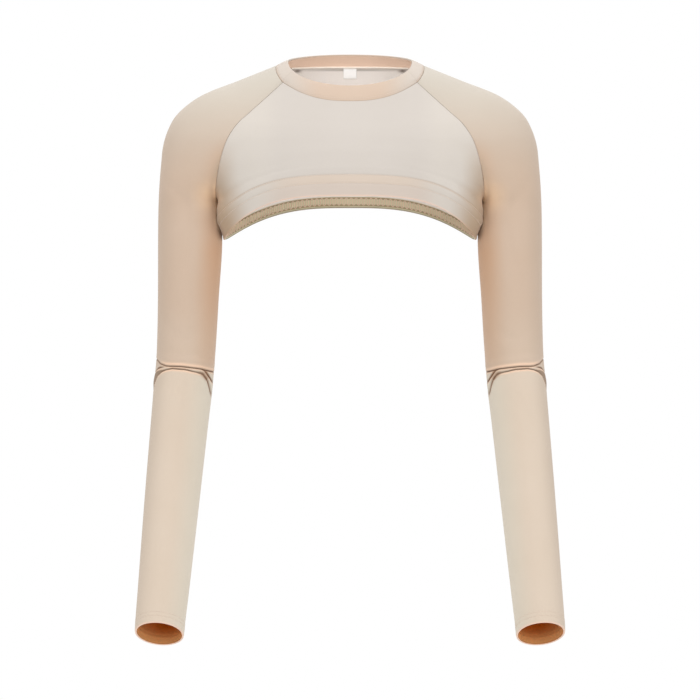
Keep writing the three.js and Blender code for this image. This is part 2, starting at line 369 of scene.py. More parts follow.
class SleeveForm:
    """The left sleeve's surface: sections along the arm, each an ellipse cut short at the raglan seams."""

    TABLE = FormTable(
        ("inner_x", "inner_z", "outer_x", "outer_z", "mid_y", "depth", "pitch", "open"),
        {
            "cuff": (178.0, -616.0, 230.2, -613.5, -137, 32.5, 29, 0),
            "cuff_hem": (177.2, -604.5, 230.2, -601.0, -130, 32.6, 29, 0),
            "wrist": (174.7, -577.5, 229.2, -572.5, -116, 33.0, 29, 0),
            "mid_forearm": (166.8, -484.0, 226.4, -478.5, -65, 35.5, 29, 0),
            "upper_forearm": (158.8, -388.0, 222.8, -382.5, -14, 37.5, 29, 0),
            "lower_elbow": (155.6, -351.0, 221.4, -346.0, 6, 38.0, 27, 0),
            "upper_elbow": (154.2, -331.5, 219.8, -324.0, 11, 38.5, 3, 0),
            "above_elbow": (151.8, -300.5, 218.6, -298.5, 10, 39.0, -2, 0),
            "mid_upper_arm": (149.0, -255.0, 217.6, -253.0, 8, 40.5, -2.5, 0),
            "under_armpit": (144.6, -180.5, 217.1, -179.5, 5, 43.0, -2, 0),
            "armpit": (146.6, -150.0, 216.6, -150.0, 4, 44.0, 0, 0),
            "armpit_fold": (150.2, -138.5, 215.9, -134.0, 3, 46.0, -1, 30),
            "arm_crease": (149.5, -126.0, 214.9, -118.5, 2, 49.0, -3, 55),
            "deltoid": (146.3, -107.0, 213.3, -100.0, 1, 54.0, -5, 78),
            "shoulder_side": (141.0, -84.0, 211.0, -80.0, 0, 59.0, -7, 92),
            "shoulder_turn": (134.8, -66.5, 205.6, -62.5, -1, 62.0, -9, 100),
            "shoulder_top": (125.0, -50.0, 195.5, -45.0, -1.5, 60.0, -11, 104),
            "collarbone": (112.5, -36.0, 171.0, -25.6, -2, 54.0, -14, 103),
            "neck_slope": (95.5, -18.8, 127.0, -8.2, -2, 43.5, -18, 98),
            "neck": (75.3, -0.4, 84.0, 8.0, -2, 31.7, -21.5, 92),
        },
    )
    UPPER_LINE = (
        (1.0, -320.6), (0.89, -323.4), (0.79, -326.1), (0.57, -328.5), (0.42, -328.9), (0.03, -329.2),
        (-0.34, -330.6), (-0.63, -332.0), (-0.73, -333.1), (-0.92, -334.9), (-1.0, -335.6),
    )  # fmt: skip
    MIDDLE_LINE = (
        (1.0, -337.0), (0.9, -334.0), (0.83, -331.8), (0.74, -330.4), (0.58, -329.6), (0.03, -329.2),
        (-0.63, -332.0), (-0.73, -333.4), (-0.82, -336.9), (-0.92, -342.1), (-1.0, -347.0),
    )  # fmt: skip
    LOWER_LINE = (
        (1.0, -358.0), (0.97, -354.6), (0.93, -347.7), (0.83, -339.8), (0.68, -334.8), (0.54, -332.8),
        (0.32, -331.4), (-0.13, -332.5), (-0.34, -334.2), (-0.63, -336.3), (-0.73, -338.0), (-0.85, -343.2),
        (-0.92, -350.0), (-0.97, -357.0), (-1.0, -361.0),
    )  # fmt: skip
    UPPER = ElbowFold(UPPER_LINE, 2.4, (0.6, 0.7, 0.8), (0.6, 0.7, 0.8), (0.8, 0.5, 0.6))
    MIDDLE = ElbowFold(MIDDLE_LINE, 1.5, (0.6, 0.9, 1.4), (0.6, 0.9, 1.4), (0.0, 0.8, 0.8))
    LOWER = ElbowFold(LOWER_LINE, 2.4, (0.6, 0.8, 2.4), (0.6, 0.8, 2.8), (0.9, 0.2, 0.55), (-339.0, -350.0))
    CREASES = (UPPER, MIDDLE, LOWER)
    LIPS = (
        UPPER.moved(2.4, -0.3, 1.5, (1.0, 0.2, 0.9)),
        UPPER.moved(-1.35, -0.2, 0.7, (1.0, 0.0, 1.0)),
        MIDDLE.moved(-2.2, -0.2, 1.0, (0.0, 1.0, 1.0)),
        LOWER.moved(-2.0, -0.3, 1.1, (1.0, 0.5, 0.6)),
    )
    ROLLS = (
        UPPER.moved(7.5, -1.2, 5.5, (1.0, 0.0, 0.6)),
        LOWER.moved(7.5, -1.3, 5.0, (0.0, 1.0, 0.3)),
        LOWER.moved(-6.0, -0.8, 5.5, (1.0, 0.0, 0.4)),
    )
    CLOSED_ENOUGH = 1e-6
    # Where the elbow's shaded hollow begins, and where it fades under its top and behind the arm.
    HOLLOW_TOP, HOLLOW_SIDE, HOLLOW_FRONT = (2.2, 3.6), (0.4, 0.75), (-0.12, 0.26)
    HOLLOW_FADE, FADE_UNDER, FADE_BEHIND = 0.65, (5.0, 22.0), (-0.45, -0.1)
    EDGE_SOFTNESS, SIDE_SOFTNESS = 0.5, 2.5
    # How dark the painted crease shade is at the front, and how fast it spreads from the folds.
    FRONT_CREASE, CREASE_SPREAD = 0.66, 2.0

    def __init__(self) -> None:
        """Places the sections along the middle of the sleeve, from the cuff."""
        middles = self._middles({name: self.TABLE.column(name) for name in self.TABLE.columns})
        steps = np.linalg.norm(np.diff(middles, axis=0), axis=-1)
        self.places: Array = np.concatenate([[0.0], np.cumsum(steps)])

    @staticmethod
    def _middles(section: dict[str, Array]) -> Array:
        """Returns the middle of each section."""
        x, z = ((section[f"inner_{axis}"] + section[f"outer_{axis}"]) / 2 for axis in "xz")
        return np.stack([x, section["mid_y"], z], axis=-1)

    def place(self, name: str) -> float:
        """Returns how far a named section lies from the cuff."""
        return float(self.places[list(self.TABLE.rows).index(name)])

    def points(self, at: Array, shares: Array, creased: bool = True) -> Array:
        """Works out points of the sleeve.

        Args:
            at: Places along the sleeve, one for each row of points.
            shares: Shares of the way round, from the front seam to the back seam.
            creased: Whether the elbow's folds are pressed in.

        Returns:
            The points, rows by columns by xyz.
        """
        section = {name: values[:, None] for name, values in self.TABLE.read(self.places, at).items()}
        closed = at[:, None] <= self.place("armpit") + self.CLOSED_ENOUGH
        gap = np.radians(np.where(closed, 0.0, np.maximum(section["open"], 0.0)))
        angles = gap + shares[None, :] * 2 * (np.pi - gap)
        reach = (np.cos(gap) - np.cos(angles)) / (1 + np.cos(gap))
        pitch = np.radians(section["pitch"])
        forward = section["depth"] * np.sin(angles)
        x, z = (
            section[f"inner_{axis}"] + (section[f"outer_{axis}"] - section[f"inner_{axis}"]) * reach
            for axis in "xz"
        )
        y, z = section["mid_y"] - forward * np.cos(pitch), z + forward * np.sin(pitch)
        points = np.stack([x, y, z], axis=-1)
        if not creased:
            return points
        folds = (*self.CREASES, *self.LIPS, *self.ROLLS)
        drawn = sum(fold.depth * fold.shares(z, angles) for fold in folds)
        return points - unit(points - self._middles(section)) * drawn[..., None]

    def elbow_marks(self, at: Array, shares: Array) -> dict[str, Array]:
        """Marks the light and shade painted at the elbow: painted shade in its creases, painted highlights on
        the lips beside them and painted shade in the hollow on the outside.

        Args:
            at: Places along the sleeve, one for each row of points.
            shares: Shares of the way round.

        Returns:
            The marks by name.
        """
        height = self.points(at, shares, creased=False)[..., 2]
        angles = np.broadcast_to(shares * 2 * np.pi, height.shape)
        outside, front = -np.cos(angles), np.sin(angles)
        under = self.MIDDLE.heights(angles) - height
        faded = self.HOLLOW_FADE * smoothstep(under, *self.FADE_UNDER) * smoothstep(-front, *self.FADE_BEHIND)
        below = smoothstep(under, *self.HOLLOW_TOP) * (1.0 - faded)
        soft = self.EDGE_SOFTNESS + self.SIDE_SOFTNESS * (1.0 - smoothstep(front, 0.0, 0.3))
        over = smoothstep(height - self.LOWER.heights(angles), -soft, soft)
        hollow = smoothstep(outside, *self.HOLLOW_SIDE) * below * over
        lines = np.stack([fold.shares(height, angles) for fold in self.CREASES])
        dark = self.FRONT_CREASE + (1.0 - self.FRONT_CREASE) * smoothstep(np.abs(outside), 0.5, 0.9)
        return {
            "lip": np.max([fold.shares(height, angles) for fold in self.LIPS], axis=0),
            "hollow": hollow * smoothstep(front, *self.HOLLOW_FRONT),
            "crease": np.max(np.clip(lines * self.CREASE_SPREAD, 0, 1), axis=0) * dark,
        }


class PanelForm:
    """A body panel's surface: rows from the hem up to the neck seam, each bowed round the body.

    A row's level is 0 at the hem, 1 at the hem line, 2 at the armpit and 3 at the neck.
    """

    ARMPIT, NECK = 2.0, 3.0
    SEAM_GAP = 0.35
    SIDE_SEAM = {"hem": (141.8, 4.0, -186.0), "hem_line": (144.2, 4.0, -163.5)}
    # How far the sides are tucked in to clear the sleeves, at which levels, and how far round.
    TUCK = {Facing.FRONT: 2.5, Facing.BACK: 0.0}
    TUCK_LEVELS = ((0.0, 0.0), (0.5, 0.7), (1.0, 1.0), (2.0, 0.85), (2.12, 0.0))
    TUCK_START, TUCK_END = (0.0, 0.05), (0.1, 0.22)
    COLUMNS = ("middle_y", "middle_z", "wrap", "drop")
    TABLES = {
        Facing.FRONT: FormTable(
            COLUMNS,
            {
                "hem": (-103.0, -143.5, 95, 3.6),
                "hem_line": (-105.0, -121.5, 104, 3.4),
                "armpit": (-105.0, -113.0, 103, 3.1),
                "armpit_fold": (-104.0, -107.0, 88, 2.8),
                "arm_crease": (-103.0, -101.0, 74, 2.5),
                "deltoid": (-101.5, -93.5, 61, 2.4),
                "shoulder_side": (-98.5, -85.0, 52, 2.3),
                "shoulder_turn": (-95.5, -77.5, 46, 2.25),
                "shoulder_top": (-91.5, -69.5, 43, 2.25),
                "collarbone": (-86.0, -60.5, 45, 2.3),
                "neck_slope": (-79.5, -50.0, 53, 2.4),
                "neck": (-71.0, -37.1, 63.7, 2.45),
            },
        ),
        Facing.BACK: FormTable(
            COLUMNS,
            {
                "hem": (92.0, -145.0, 90, 2.85),
                "hem_line": (93.0, -123.0, 90, 2.75),
                "armpit": (93.0, -110.0, 89, 2.6),
                "armpit_fold": (93.0, -101.0, 80, 2.45),
                "arm_crease": (92.5, -90.0, 71, 2.4),
                "deltoid": (91.5, -75.0, 62, 2.35),
                "shoulder_side": (89.5, -58.0, 54, 2.3),
                "shoulder_turn": (86.5, -44.0, 48, 2.25),
                "shoulder_top": (82.5, -30.0, 45, 2.25),
                "collarbone": (77.0, -16.0, 47, 2.3),
                "neck_slope": (70.0, -1.0, 54, 2.4),
                "neck": (62.0, 16.2, 63.7, 2.45),
            },
        ),
    }

    def __init__(self, sleeve: SleeveForm, facing: Facing) -> None:
        """Takes the sleeve whose raglan seam the panel meets, and which panel it is."""
        self.sleeve, self.facing = sleeve, facing
        self.table = self.TABLES[facing]

    def _low_rows(self, levels: Array) -> tuple[Array, Array]:
        """Reads rows from the hem to the armpit.

        Args:
            levels: The rows' levels.

        Returns:
            The rows' edge points, and their middle_y, middle_z, wrap and drop.
        """
        armpit = self._seam(np.array([self.sleeve.place("armpit")]))[0]
        armpit = armpit + self.SEAM_GAP * np.array([-1.0, self.facing.value, -1.0])
        side = np.array(list(self.SIDE_SEAM.values())) + [0.0, self.facing.value * self.SEAM_GAP, 0.0]
        middles = np.array([self.table.rows[name] for name in ("hem", "hem_line", "armpit")])
        both = np.hstack([np.vstack([side, armpit]), middles])
        read = read_rows(levels, range(len(both)), both)
        return read[:, :3], read[:, 3:]

    def _seam(self, places: Array) -> Array:
        """Returns the points of the raglan seam at places along the sleeve."""
        share = np.array([0.0 if self.facing is Facing.FRONT else 1.0])
        return self.sleeve.points(places, share, creased=False)[:, 0] - [self.SEAM_GAP, 0.0, 0.0]

    def points(self, levels: Array, across: Array) -> Array:
        """Works out points of the panel.

        Args:
            levels: The rows' levels, in order.
            across: From -1 at the wearer's right seam to 1 at the left.

        Returns:
            The points, rows by columns by xyz.
        """
        edges, middles = self._low_rows(levels[levels <= self.ARMPIT])
        start, end = self.sleeve.place("armpit"), self.sleeve.place("neck")
        places = start + (levels[levels > self.ARMPIT] - self.ARMPIT) * (end - start)
        names = [name for name in self.table.rows if name in self.sleeve.TABLE.rows]
        stations = np.array([self.sleeve.place(name) for name in names])
        read = self.table.part(names).read(stations, places)
        edges = np.vstack([edges, self._seam(places)])
        middles = np.vstack([middles, np.stack([read[column] for column in self.COLUMNS], axis=-1)])
        middle_y, middle_z, wrap, drop = (column[:, None] for column in middles.T)
        edge_x, edge_y, edge_z = (column[:, None] for column in edges.T)
        wrap = np.radians(wrap)
        angles = across[None, :] * wrap
        sideways = np.sin(angles) / np.sin(wrap)
        inwards = (np.cos(angles) - np.cos(wrap)) / (1 - np.cos(wrap))
        tucked = self.TUCK[self.facing] * graph(levels, self.TUCK_LEVELS)[:, None]
        tucked = tucked * plateau(inwards, self.TUCK_START, self.TUCK_END)
        x = edge_x * sideways - np.sign(sideways) * tucked
        y = edge_y + (middle_y - edge_y) * inwards
        z = middle_z + (edge_z - middle_z) * np.abs(sideways) ** drop
        return np.stack([x, y, z], axis=-1)


class NeckForm:
    """The neck: the seam round the neck edges of the panels and sleeves, and the neck band's rim."""

    HALF_WIDTH, MIDDLE_Y = 70.0, -3.0
    DEPTH = {Facing.FRONT: 58.0, Facing.BACK: 54.0}
    RIM_Z = {Facing.FRONT: -18.3, Facing.BACK: 30.0}
    SIDE_Z = 16.0
    PANEL_COLUMNS, SLEEVE_COLUMNS = 76, 60

    def __init__(self, sleeve: SleeveForm, front: PanelForm, back: PanelForm) -> None:
        """Takes the forms whose neck edges the band joins."""
        self.sleeve, self.front, self.back = sleeve, front, back

    def seam(self) -> Array:
        """Works out the neck seam, once round, anticlockwise from above.

        Returns:
            The seam's points.
        """
        across = np.linspace(-1, 1, self.PANEL_COLUMNS + 1)
        shares = np.linspace(0, 1, self.SLEEVE_COLUMNS + 1)[1:-1]
        top = np.array([PanelForm.NECK])
        left = self.sleeve.points(np.array([self.sleeve.place("neck")]), shares, creased=False)[0]
        right = (left * [-1.0, 1.0, 1.0])[::-1]
        return np.vstack([self.front.points(top, across)[0], left, self.back.points(top, -across)[0], right])

    def rim(self, seam: Array) -> Array:
        """Works out the rim of the neck band.

        Args:
            seam: The neck seam's points.

        Returns:
            The point of the rim above each point of the seam.
        """
        behind = seam[:, 1] > self.MIDDLE_Y
        depth, end = (
            np.where(behind, sizes[Facing.BACK], sizes[Facing.FRONT]) for sizes in (self.DEPTH, self.RIM_Z)
        )
        angle = np.arctan2((seam[:, 1] - self.MIDDLE_Y) / depth, seam[:, 0] / self.HALF_WIDTH)
        z = self.SIDE_Z + (end - self.SIDE_Z) * np.abs(np.sin(angle))
        return np.stack([self.HALF_WIDTH * np.cos(angle), self.MIDDLE_Y + depth * np.sin(angle), z], axis=-1)


Number = Union["Field", float]


class Field:
    """A number that varies over a surface, so that shader sums read as ordinary arithmetic."""

    def __init__(self, board: Board, socket: bpy.types.NodeSocket) -> None:
        """Wraps an output socket of a node on the board."""
        self.board, self.socket = board, socket

    def _math(self, operation: str, *others: Number) -> Field:
        """Returns a Math node's result for this number and the others."""
        node = self.board.add("ShaderNodeMath", {"operation": operation}, dict(enumerate((self, *others))))
        return Field(self.board, node.outputs[0])

    def __add__(self, other: Number) -> Field:
        """Returns the sum."""
        return self._math("ADD", other)

    __radd__ = __add__

    def __mul__(self, other: Number) -> Field:
        """Returns the product."""
        return self._math("MULTIPLY", other)

    __rmul__ = __mul__

    def __sub__(self, other: Number) -> Field:
        """Returns the difference."""
        return self._math("SUBTRACT", other)

    def __rsub__(self, other: float) -> Field:
        """Returns a plain number less this one."""
        return self * -1.0 + other

    def __truediv__(self, other: Number) -> Field:
        """Returns the quotient."""
        return self._math("DIVIDE", other)

    def __pow__(self, other: Number) -> Field:
        """Returns the power."""
        return self._math("POWER", other)

    def __abs__(self) -> Field:
        """Returns the size without its sign."""
        return self._math("ABSOLUTE")

    def fraction(self) -> Field:
        """Returns the part after the point."""
        return self._math("FRACT")

    def wave(self) -> Field:
        """Returns the sine of the number, counted in whole turns."""
        return (self * math.tau)._math("SINE")


class Board:
    """One material's node tree, with every node added in the same way."""

    def __init__(self, name: str) -> None:
        """Makes the material and its surface shader.

        Args:
            name: The material's name.
        """
        self.material = bpy.data.materials.new(name)
        self.material.use_nodes = True
        self.tree = self.material.node_tree
        self.surface = self.tree.nodes["Principled BSDF"]

    def add(
        self, kind: str, settings: dict[str, object] | None = None, inputs: dict[object, object] | None = None
    ) -> bpy.types.Node:
        """Adds a node.

        Args:
            kind: The node's type.
            settings: Its properties.
            inputs: Its input sockets by name or number, each a Field or a plain value.

        Returns:
            The node.
        """
        node = self.tree.nodes.new(kind)
        for name, value in (settings or {}).items():
            setattr(node, name, value)
        self.feed(node, inputs or {})
        return node

    def feed(self, node: bpy.types.Node, inputs: dict[object, object]) -> None:
        """Links Fields to a node's input sockets, and sets its other sockets to plain values.

        Args:
            node: The node.
            inputs: Its input sockets by name or number, each a Field or a plain value.
        """
        for key, value in inputs.items():
            if isinstance(value, Field):
                self.tree.links.new(value.socket, node.inputs[key])
            else:
                node.inputs[key].default_value = value

    def blend(self, share: Number, first: Colour | Field, second: Colour | Field) -> Field:
        """Mixes two colours.

        Args:
            share: How much of the second colour there is.
            first: The colour at share 0.
            second: The colour at share 1.

        Returns:
            The mixed colour.
        """
        colours = [c if isinstance(c, Field) else (*c, 1.0) for c in (first, second)]
        node = self.add("ShaderNodeMix", {"data_type": "RGBA"}, {0: share, 6: colours[0], 7: colours[1]})
        return Field(self, node.outputs[2])

    def toned(self, colour: Field, value: Field, saturation: Number = 1.0) -> Field:
        """Returns the colour made lighter by the value and stronger by the saturation."""
        inputs = {"Color": colour, "Value": value, "Saturation": saturation}
        return Field(self, self.add("ShaderNodeHueSaturation", inputs=inputs).outputs[0])

    def flat_place(self) -> tuple[Field, Field]:
        """Reads the place on the cloth before it was sewn.

        Returns:
            The place across and along the cloth, in metres.
        """
        place = Field(self, self.add("ShaderNodeUVMap", {"uv_map": ClothGrid.FLAT_MAP}).outputs["UV"])
        parts = self.add("ShaderNodeSeparateXYZ", inputs={0: place})
        return Field(self, parts.outputs["X"]), Field(self, parts.outputs["Y"])

    def noise(self, size: float, detail: float = 2.0) -> Field:
        """Adds a smooth noise around 0.5.

        Args:
            size: About how many metres its patches are across.
            detail: How many finer layers it has.

        Returns:
            The noise.
        """
        where = Field(self, self.add("ShaderNodeTexCoord").outputs["Object"])
        node = self.add("ShaderNodeTexNoise", inputs={"Vector": where, "Scale": 1 / size, "Detail": detail})
        return Field(self, node.outputs[0])

    def attribute(self, name: str) -> Field:
        """Returns a mark stored on the mesh."""
        return Field(self, self.add("ShaderNodeAttribute", {"attribute_name": name}).outputs["Fac"])

    def dress(self, colour: Field, roughness: Field, height: Field, strength: float, depth: float) -> None:
        """Gives the surface shader its colour, roughness and relief.

        Args:
            colour: The base colour.
            roughness: The roughness.
            height: The height of the relief, from 0 to about 1.
            strength: How strongly the relief shows.
            depth: How deep it is, in metres.
        """
        relief = {"Strength": strength, "Distance": depth, "Height": height}
        normal = Field(self, self.add("ShaderNodeBump", inputs=relief).outputs[0])
        self.feed(self.surface, {"Base Color": colour, "Roughness": roughness, "Normal": normal})


def linear(code: str) -> Colour:
    """Turns a colour such as d9c4ae into light.

    Args:
        code: Red, green and blue as two hexadecimal digits each.

    Returns:
        Linear red, green and blue.
    """
    shares = [int(code[i : i + 2], 16) / 255 for i in (0, 2, 4)]
    red, green, blue = (s / 12.92 if s <= 0.04045 else ((s + 0.055) / 1.055) ** 2.4 for s in shares)
    return red, green, blue


@dataclass(frozen=True)
class Finish:
    """How one material of the shrug looks.

    Attributes:
        name: The material's name.
        colour: Its main colour.
    """

    name: str
    colour: str

    def material(self) -> bpy.types.Material:
        """Makes the material and returns it."""
        raise NotImplementedError(self.name)


@dataclass(frozen=True)
class KnitFinish(Finish):
    """A fine jersey knit, brushed and a little stretchy.

    Attributes:
        tints: Its colour where a mark stored on the mesh is 1, for each mark by name.
        face: Which face of the knit shows.
        wale: The width of a column of loops, in metres.
        course: The height of a row of loops, in metres.
        relief: How strongly the loops stand out.
        sheen: How strongly the fuzz catches the light.
    """

    tints: tuple[tuple[str, str], ...] = ()
    face: Face = Face.RIGHT
    wale: float = 0.0011
    course: float = 0.0009
    relief: float = 0.3
    sheen: float = 0.16
    PATCH, FUZZ, FUZZ_DETAIL = 0.055, 0.0016, 3.0
    LOOP_DEPTH = 0.00022
    GLOSS, SHEEN_ROUGHNESS, SHEEN_TINT = 0.25, 0.55, (1.0, 0.93, 0.87, 1.0)

    def _loops(self, board: Board) -> Field:
        """Draws the knit's loops.

        Args:
            board: The material's node tree.

        Returns:
            The loops' height, from 0 to 1.
        """
        across, along = board.flat_place()
        column = abs((across / self.wale).fraction() - 0.5) * 2.0
        if self.face is Face.RIGHT:
            slant = (along / self.course + column * 0.55).wave()
            return (1.0 - column**2.2) * (slant * 0.28 + 0.72)
        purl = (along / self.course + (column * 0.5).wave() * 0.22).wave()
        return purl * 0.4 + 0.5

    def material(self) -> bpy.types.Material:
        """Makes the material, its marks tinted in order.

        Returns:
            The material.
        """
        board = Board(self.name)
        loops = self._loops(board)
        patches, fuzz = board.noise(self.PATCH), board.noise(self.FUZZ, self.FUZZ_DETAIL)
        base: Colour | Field = linear(self.colour)
        for mark, colour in self.tints:
            base = board.blend(board.attribute(mark), base, linear(colour))
        value = 0.93 + loops * 0.06 + patches * 0.05 + fuzz * 0.04
        colour = board.toned(base, value, 1.06 - patches * 0.1)
        roughness = 0.78 - loops * 0.08 + fuzz * 0.08
        board.dress(colour, roughness, loops + fuzz * 0.45, self.relief, self.LOOP_DEPTH)
        constants = {
            "Specular IOR Level": self.GLOSS,
            "Sheen Weight": self.sheen,
            "Sheen Roughness": self.SHEEN_ROUGHNESS,
            "Sheen Tint": self.SHEEN_TINT,
        }
        board.feed(board.surface, constants)
        return board.material


@dataclass(frozen=True)
class ThreadFinish(Finish):
    """A spun sewing thread."""

    PLY, PATCH = 0.0007, 0.012
    WORN = (0.62, 0.52, 0.44)
    RELIEF, PLY_DEPTH = 0.4, 0.0001
    SHEEN = 0.2

    def material(self) -> bpy.types.Material:
        """Makes the material.

        Returns:
            The material.
        """
        board = Board(self.name)
        ply, tone = board.noise(self.PLY), board.noise(self.PATCH)
        colour = board.toned(board.blend(ply * 0.5, linear(self.colour), self.WORN), 0.9 + tone * 0.16)
        board.dress(colour, 0.5 + ply * 0.2, ply, self.RELIEF, self.PLY_DEPTH)
        board.feed(board.surface, {"Sheen Weight": self.SHEEN})
        return board.material


@dataclass(frozen=True)
class TapeFinish(Finish):
    """A plain woven label tape.

    Attributes:
        pick: The width of one thread of the weave, in metres.
    """

    pick: float = 0.0004
    PATCH = 0.006
    FADED = (0.93, 0.925, 0.91)
    RELIEF, WEAVE_DEPTH = 0.35, 0.0001

    def material(self) -> bpy.types.Material:
        """Makes the material.

        Returns:
            The material.
        """
        board = Board(self.name)
        across, along = board.flat_place()
        weave = (across / self.pick).wave() * (along / self.pick).wave() * 0.5 + 0.5
        faded = weave * 0.35 + board.noise(self.PATCH) * 0.3
        colour = board.blend(faded, linear(self.colour), self.FADED)
        board.dress(colour, 0.42 + weave * 0.15, weave, self.RELIEF, self.WEAVE_DEPTH)
        return board.material


@dataclass(frozen=True)
class StageFinish(Finish):
    """The studio's matt floor."""

    PATCH, ROUGHNESS = 0.6, 0.9
    SCUFFED = (0.86, 0.86, 0.85)

    def material(self) -> bpy.types.Material:
        """Makes the material.

        Returns:
            The material.
        """
        board = Board(self.name)
        colour = board.blend(board.noise(self.PATCH), linear(self.colour), self.SCUFFED)
        board.feed(board.surface, {"Base Color": colour, "Roughness": self.ROUGHNESS})
        return board.material


@dataclass
class ClothGrid:
    """A grid of points that becomes a sheet of cloth.

    Attributes:
        name: The piece's name.
        points: The outer face in millimetres, rows by columns by xyz.
        marks: Numbers from 0 to 1 at each point, by name, for the finishes to read.
        walls: The thickness of the single and of the turned cloth, in millimetres. A grid that closes on
            itself has none.
        turned: From 0 to 1 at each point, 1 where the cloth is turned under.
        inside_out: Whether the grid's normals point inwards and have to be flipped.
    """

    name: str
    points: Array
    marks: dict[str, Array]
    walls: tuple[float, float] | None = None
    turned: Array | None = None
    inside_out: bool = False
    FLAT_MAP, TURNED_GROUP, TURNED_LEAST = "cloth", "turned", 0.001
    SMOOTH_ANGLE, EDGE_ANGLE = math.radians(55), math.radians(60)
    EDGE_ROUNDING, EDGE_SEGMENTS = 0.42, 2
    MERGE_DISTANCE = 2e-5

    def _flat_places(self) -> Array:
        """Measures where each point lies on the flat cloth.

        Returns:
            Each point's place across, from the middle, and along, in metres.
        """
        across = arc_lengths(self.points, 1)
        across = across - across[:, -1:] / 2
        return np.stack([across, arc_lengths(self.points, 0)], axis=-1) * MM

    def build(self, *finishes: Finish) -> bpy.types.Object:
        """Makes the sheet.

        Args:
            finishes: The finish of the outer face, then that of the inner face if it has its own.

        Returns:
            The finished object.
        """
        rows, columns = self.points.shape[:2]
        bpy.ops.object.select_all(action="DESELECT")
        bpy.ops.mesh.primitive_grid_add(x_subdivisions=columns - 1, y_subdivisions=rows - 1, size=2)
        sheet = bpy.context.object
        mesh = sheet.data
        sheet.name = mesh.name = self.name
        row, column = self._grid_places(mesh, rows, columns)
        mesh.vertices.foreach_set("co", (self.points[row, column] * MM).ravel())
        loops = np.empty(len(mesh.loops), dtype=np.int32)
        mesh.loops.foreach_get("vertex_index", loops)
        layer = mesh.uv_layers[0]
        layer.name = self.FLAT_MAP
        layer.data.foreach_set("uv", self._flat_places()[row[loops], column[loops]].ravel())
        for mark, values in self.marks.items():
            stored = mesh.attributes.new(mark, "FLOAT", "POINT")
            grid = np.broadcast_to(np.clip(values, 0, 1), self.points.shape[:2])
            stored.data.foreach_set("value", grid[row, column].astype(np.float32))
        for finish in finishes:
            mesh.materials.append(finish.material())
        if self.turned is not None:
            group = sheet.vertex_groups.new(name=self.TURNED_GROUP)
            shares = self.turned[row, column]
            for index in np.nonzero(shares > self.TURNED_LEAST)[0]:
                group.add([int(index)], float(shares[index]), "REPLACE")
        self._close()
        if self.walls is not None:
            self._thicken(sheet, *self.walls)
        bpy.ops.object.shade_smooth_by_angle(angle=self.SMOOTH_ANGLE)
        return sheet

    @staticmethod
    def _grid_places(mesh: bpy.types.Mesh, rows: int, columns: int) -> tuple[Array, Array]:
        """Finds which row and column each vertex of a fresh grid stands for.

        Args:
            mesh: The grid, from -1 to 1 both ways.
            rows: How many rows it has.
            columns: How many columns it has.

        Returns:
            Each vertex's row and column.
        """
        flat = np.empty(len(mesh.vertices) * 3)
        mesh.vertices.foreach_get("co", flat)
        share = (flat.reshape(-1, 3)[:, :2] + 1) / 2
        places = np.rint(share * [columns - 1, rows - 1]).astype(int)
        return places[:, 1], places[:, 0]

    def _close(self) -> None:
        """Joins the edges that meet, and turns the normals outwards."""
        bpy.ops.object.mode_set(mode="EDIT")
        bpy.ops.mesh.select_all(action="SELECT")
        bpy.ops.mesh.remove_doubles(threshold=self.MERGE_DISTANCE)
        if self.inside_out:
            bpy.ops.mesh.flip_normals()
        bpy.ops.object.mode_set(mode="OBJECT")

    def _thicken(self, sheet: bpy.types.Object, wall: float, turned_wall: float) -> None:
        """Gives the sheet its thickness, inwards, and rounds its edges a little.

        Args:
            sheet: The sheet's object.
            wall: The thickness of the single cloth, in millimetres.
            turned_wall: The thickness of the turned cloth, in millimetres.
        """
        solidify = sheet.modifiers.new("wall", "SOLIDIFY")
        solidify.thickness = turned_wall * MM
        solidify.offset = -1.0
        solidify.vertex_group = self.TURNED_GROUP
        solidify.thickness_vertex_group = wall / turned_wall
        solidify.material_offset = 1
        solidify.material_offset_rim = 0
        bevel = sheet.modifiers.new("edge", "BEVEL")
        bevel.width = self.EDGE_ROUNDING * wall * MM
        bevel.segments = self.EDGE_SEGMENTS
        bevel.limit_method = "ANGLE"
        bevel.angle_limit = self.EDGE_ANGLE
        bevel.harden_normals = False
        for modifier in list(sheet.modifiers):
            bpy.ops.object.modifier_apply(modifier=modifier.name)


def thread_mesh(name: str, points: Array, faces: list[tuple[int, ...]], finish: Finish) -> bpy.types.Object:
    """Makes a smooth piece of thread.

    Args:
        name: The piece's name.
        points: Its points, in millimetres.
        faces: The corners of each face.
        finish: The thread's finish.

    Returns:
        The piece.
    """
    mesh = bpy.data.meshes.new(name)
    mesh.from_pydata((points * MM).tolist(), [], faces)
    piece = bpy.data.objects.new(name, mesh)
    bpy.context.collection.objects.link(piece)
    mesh.materials.append(finish.material())
    mesh.polygons.foreach_set("use_smooth", [True] * len(mesh.polygons))
    return piece


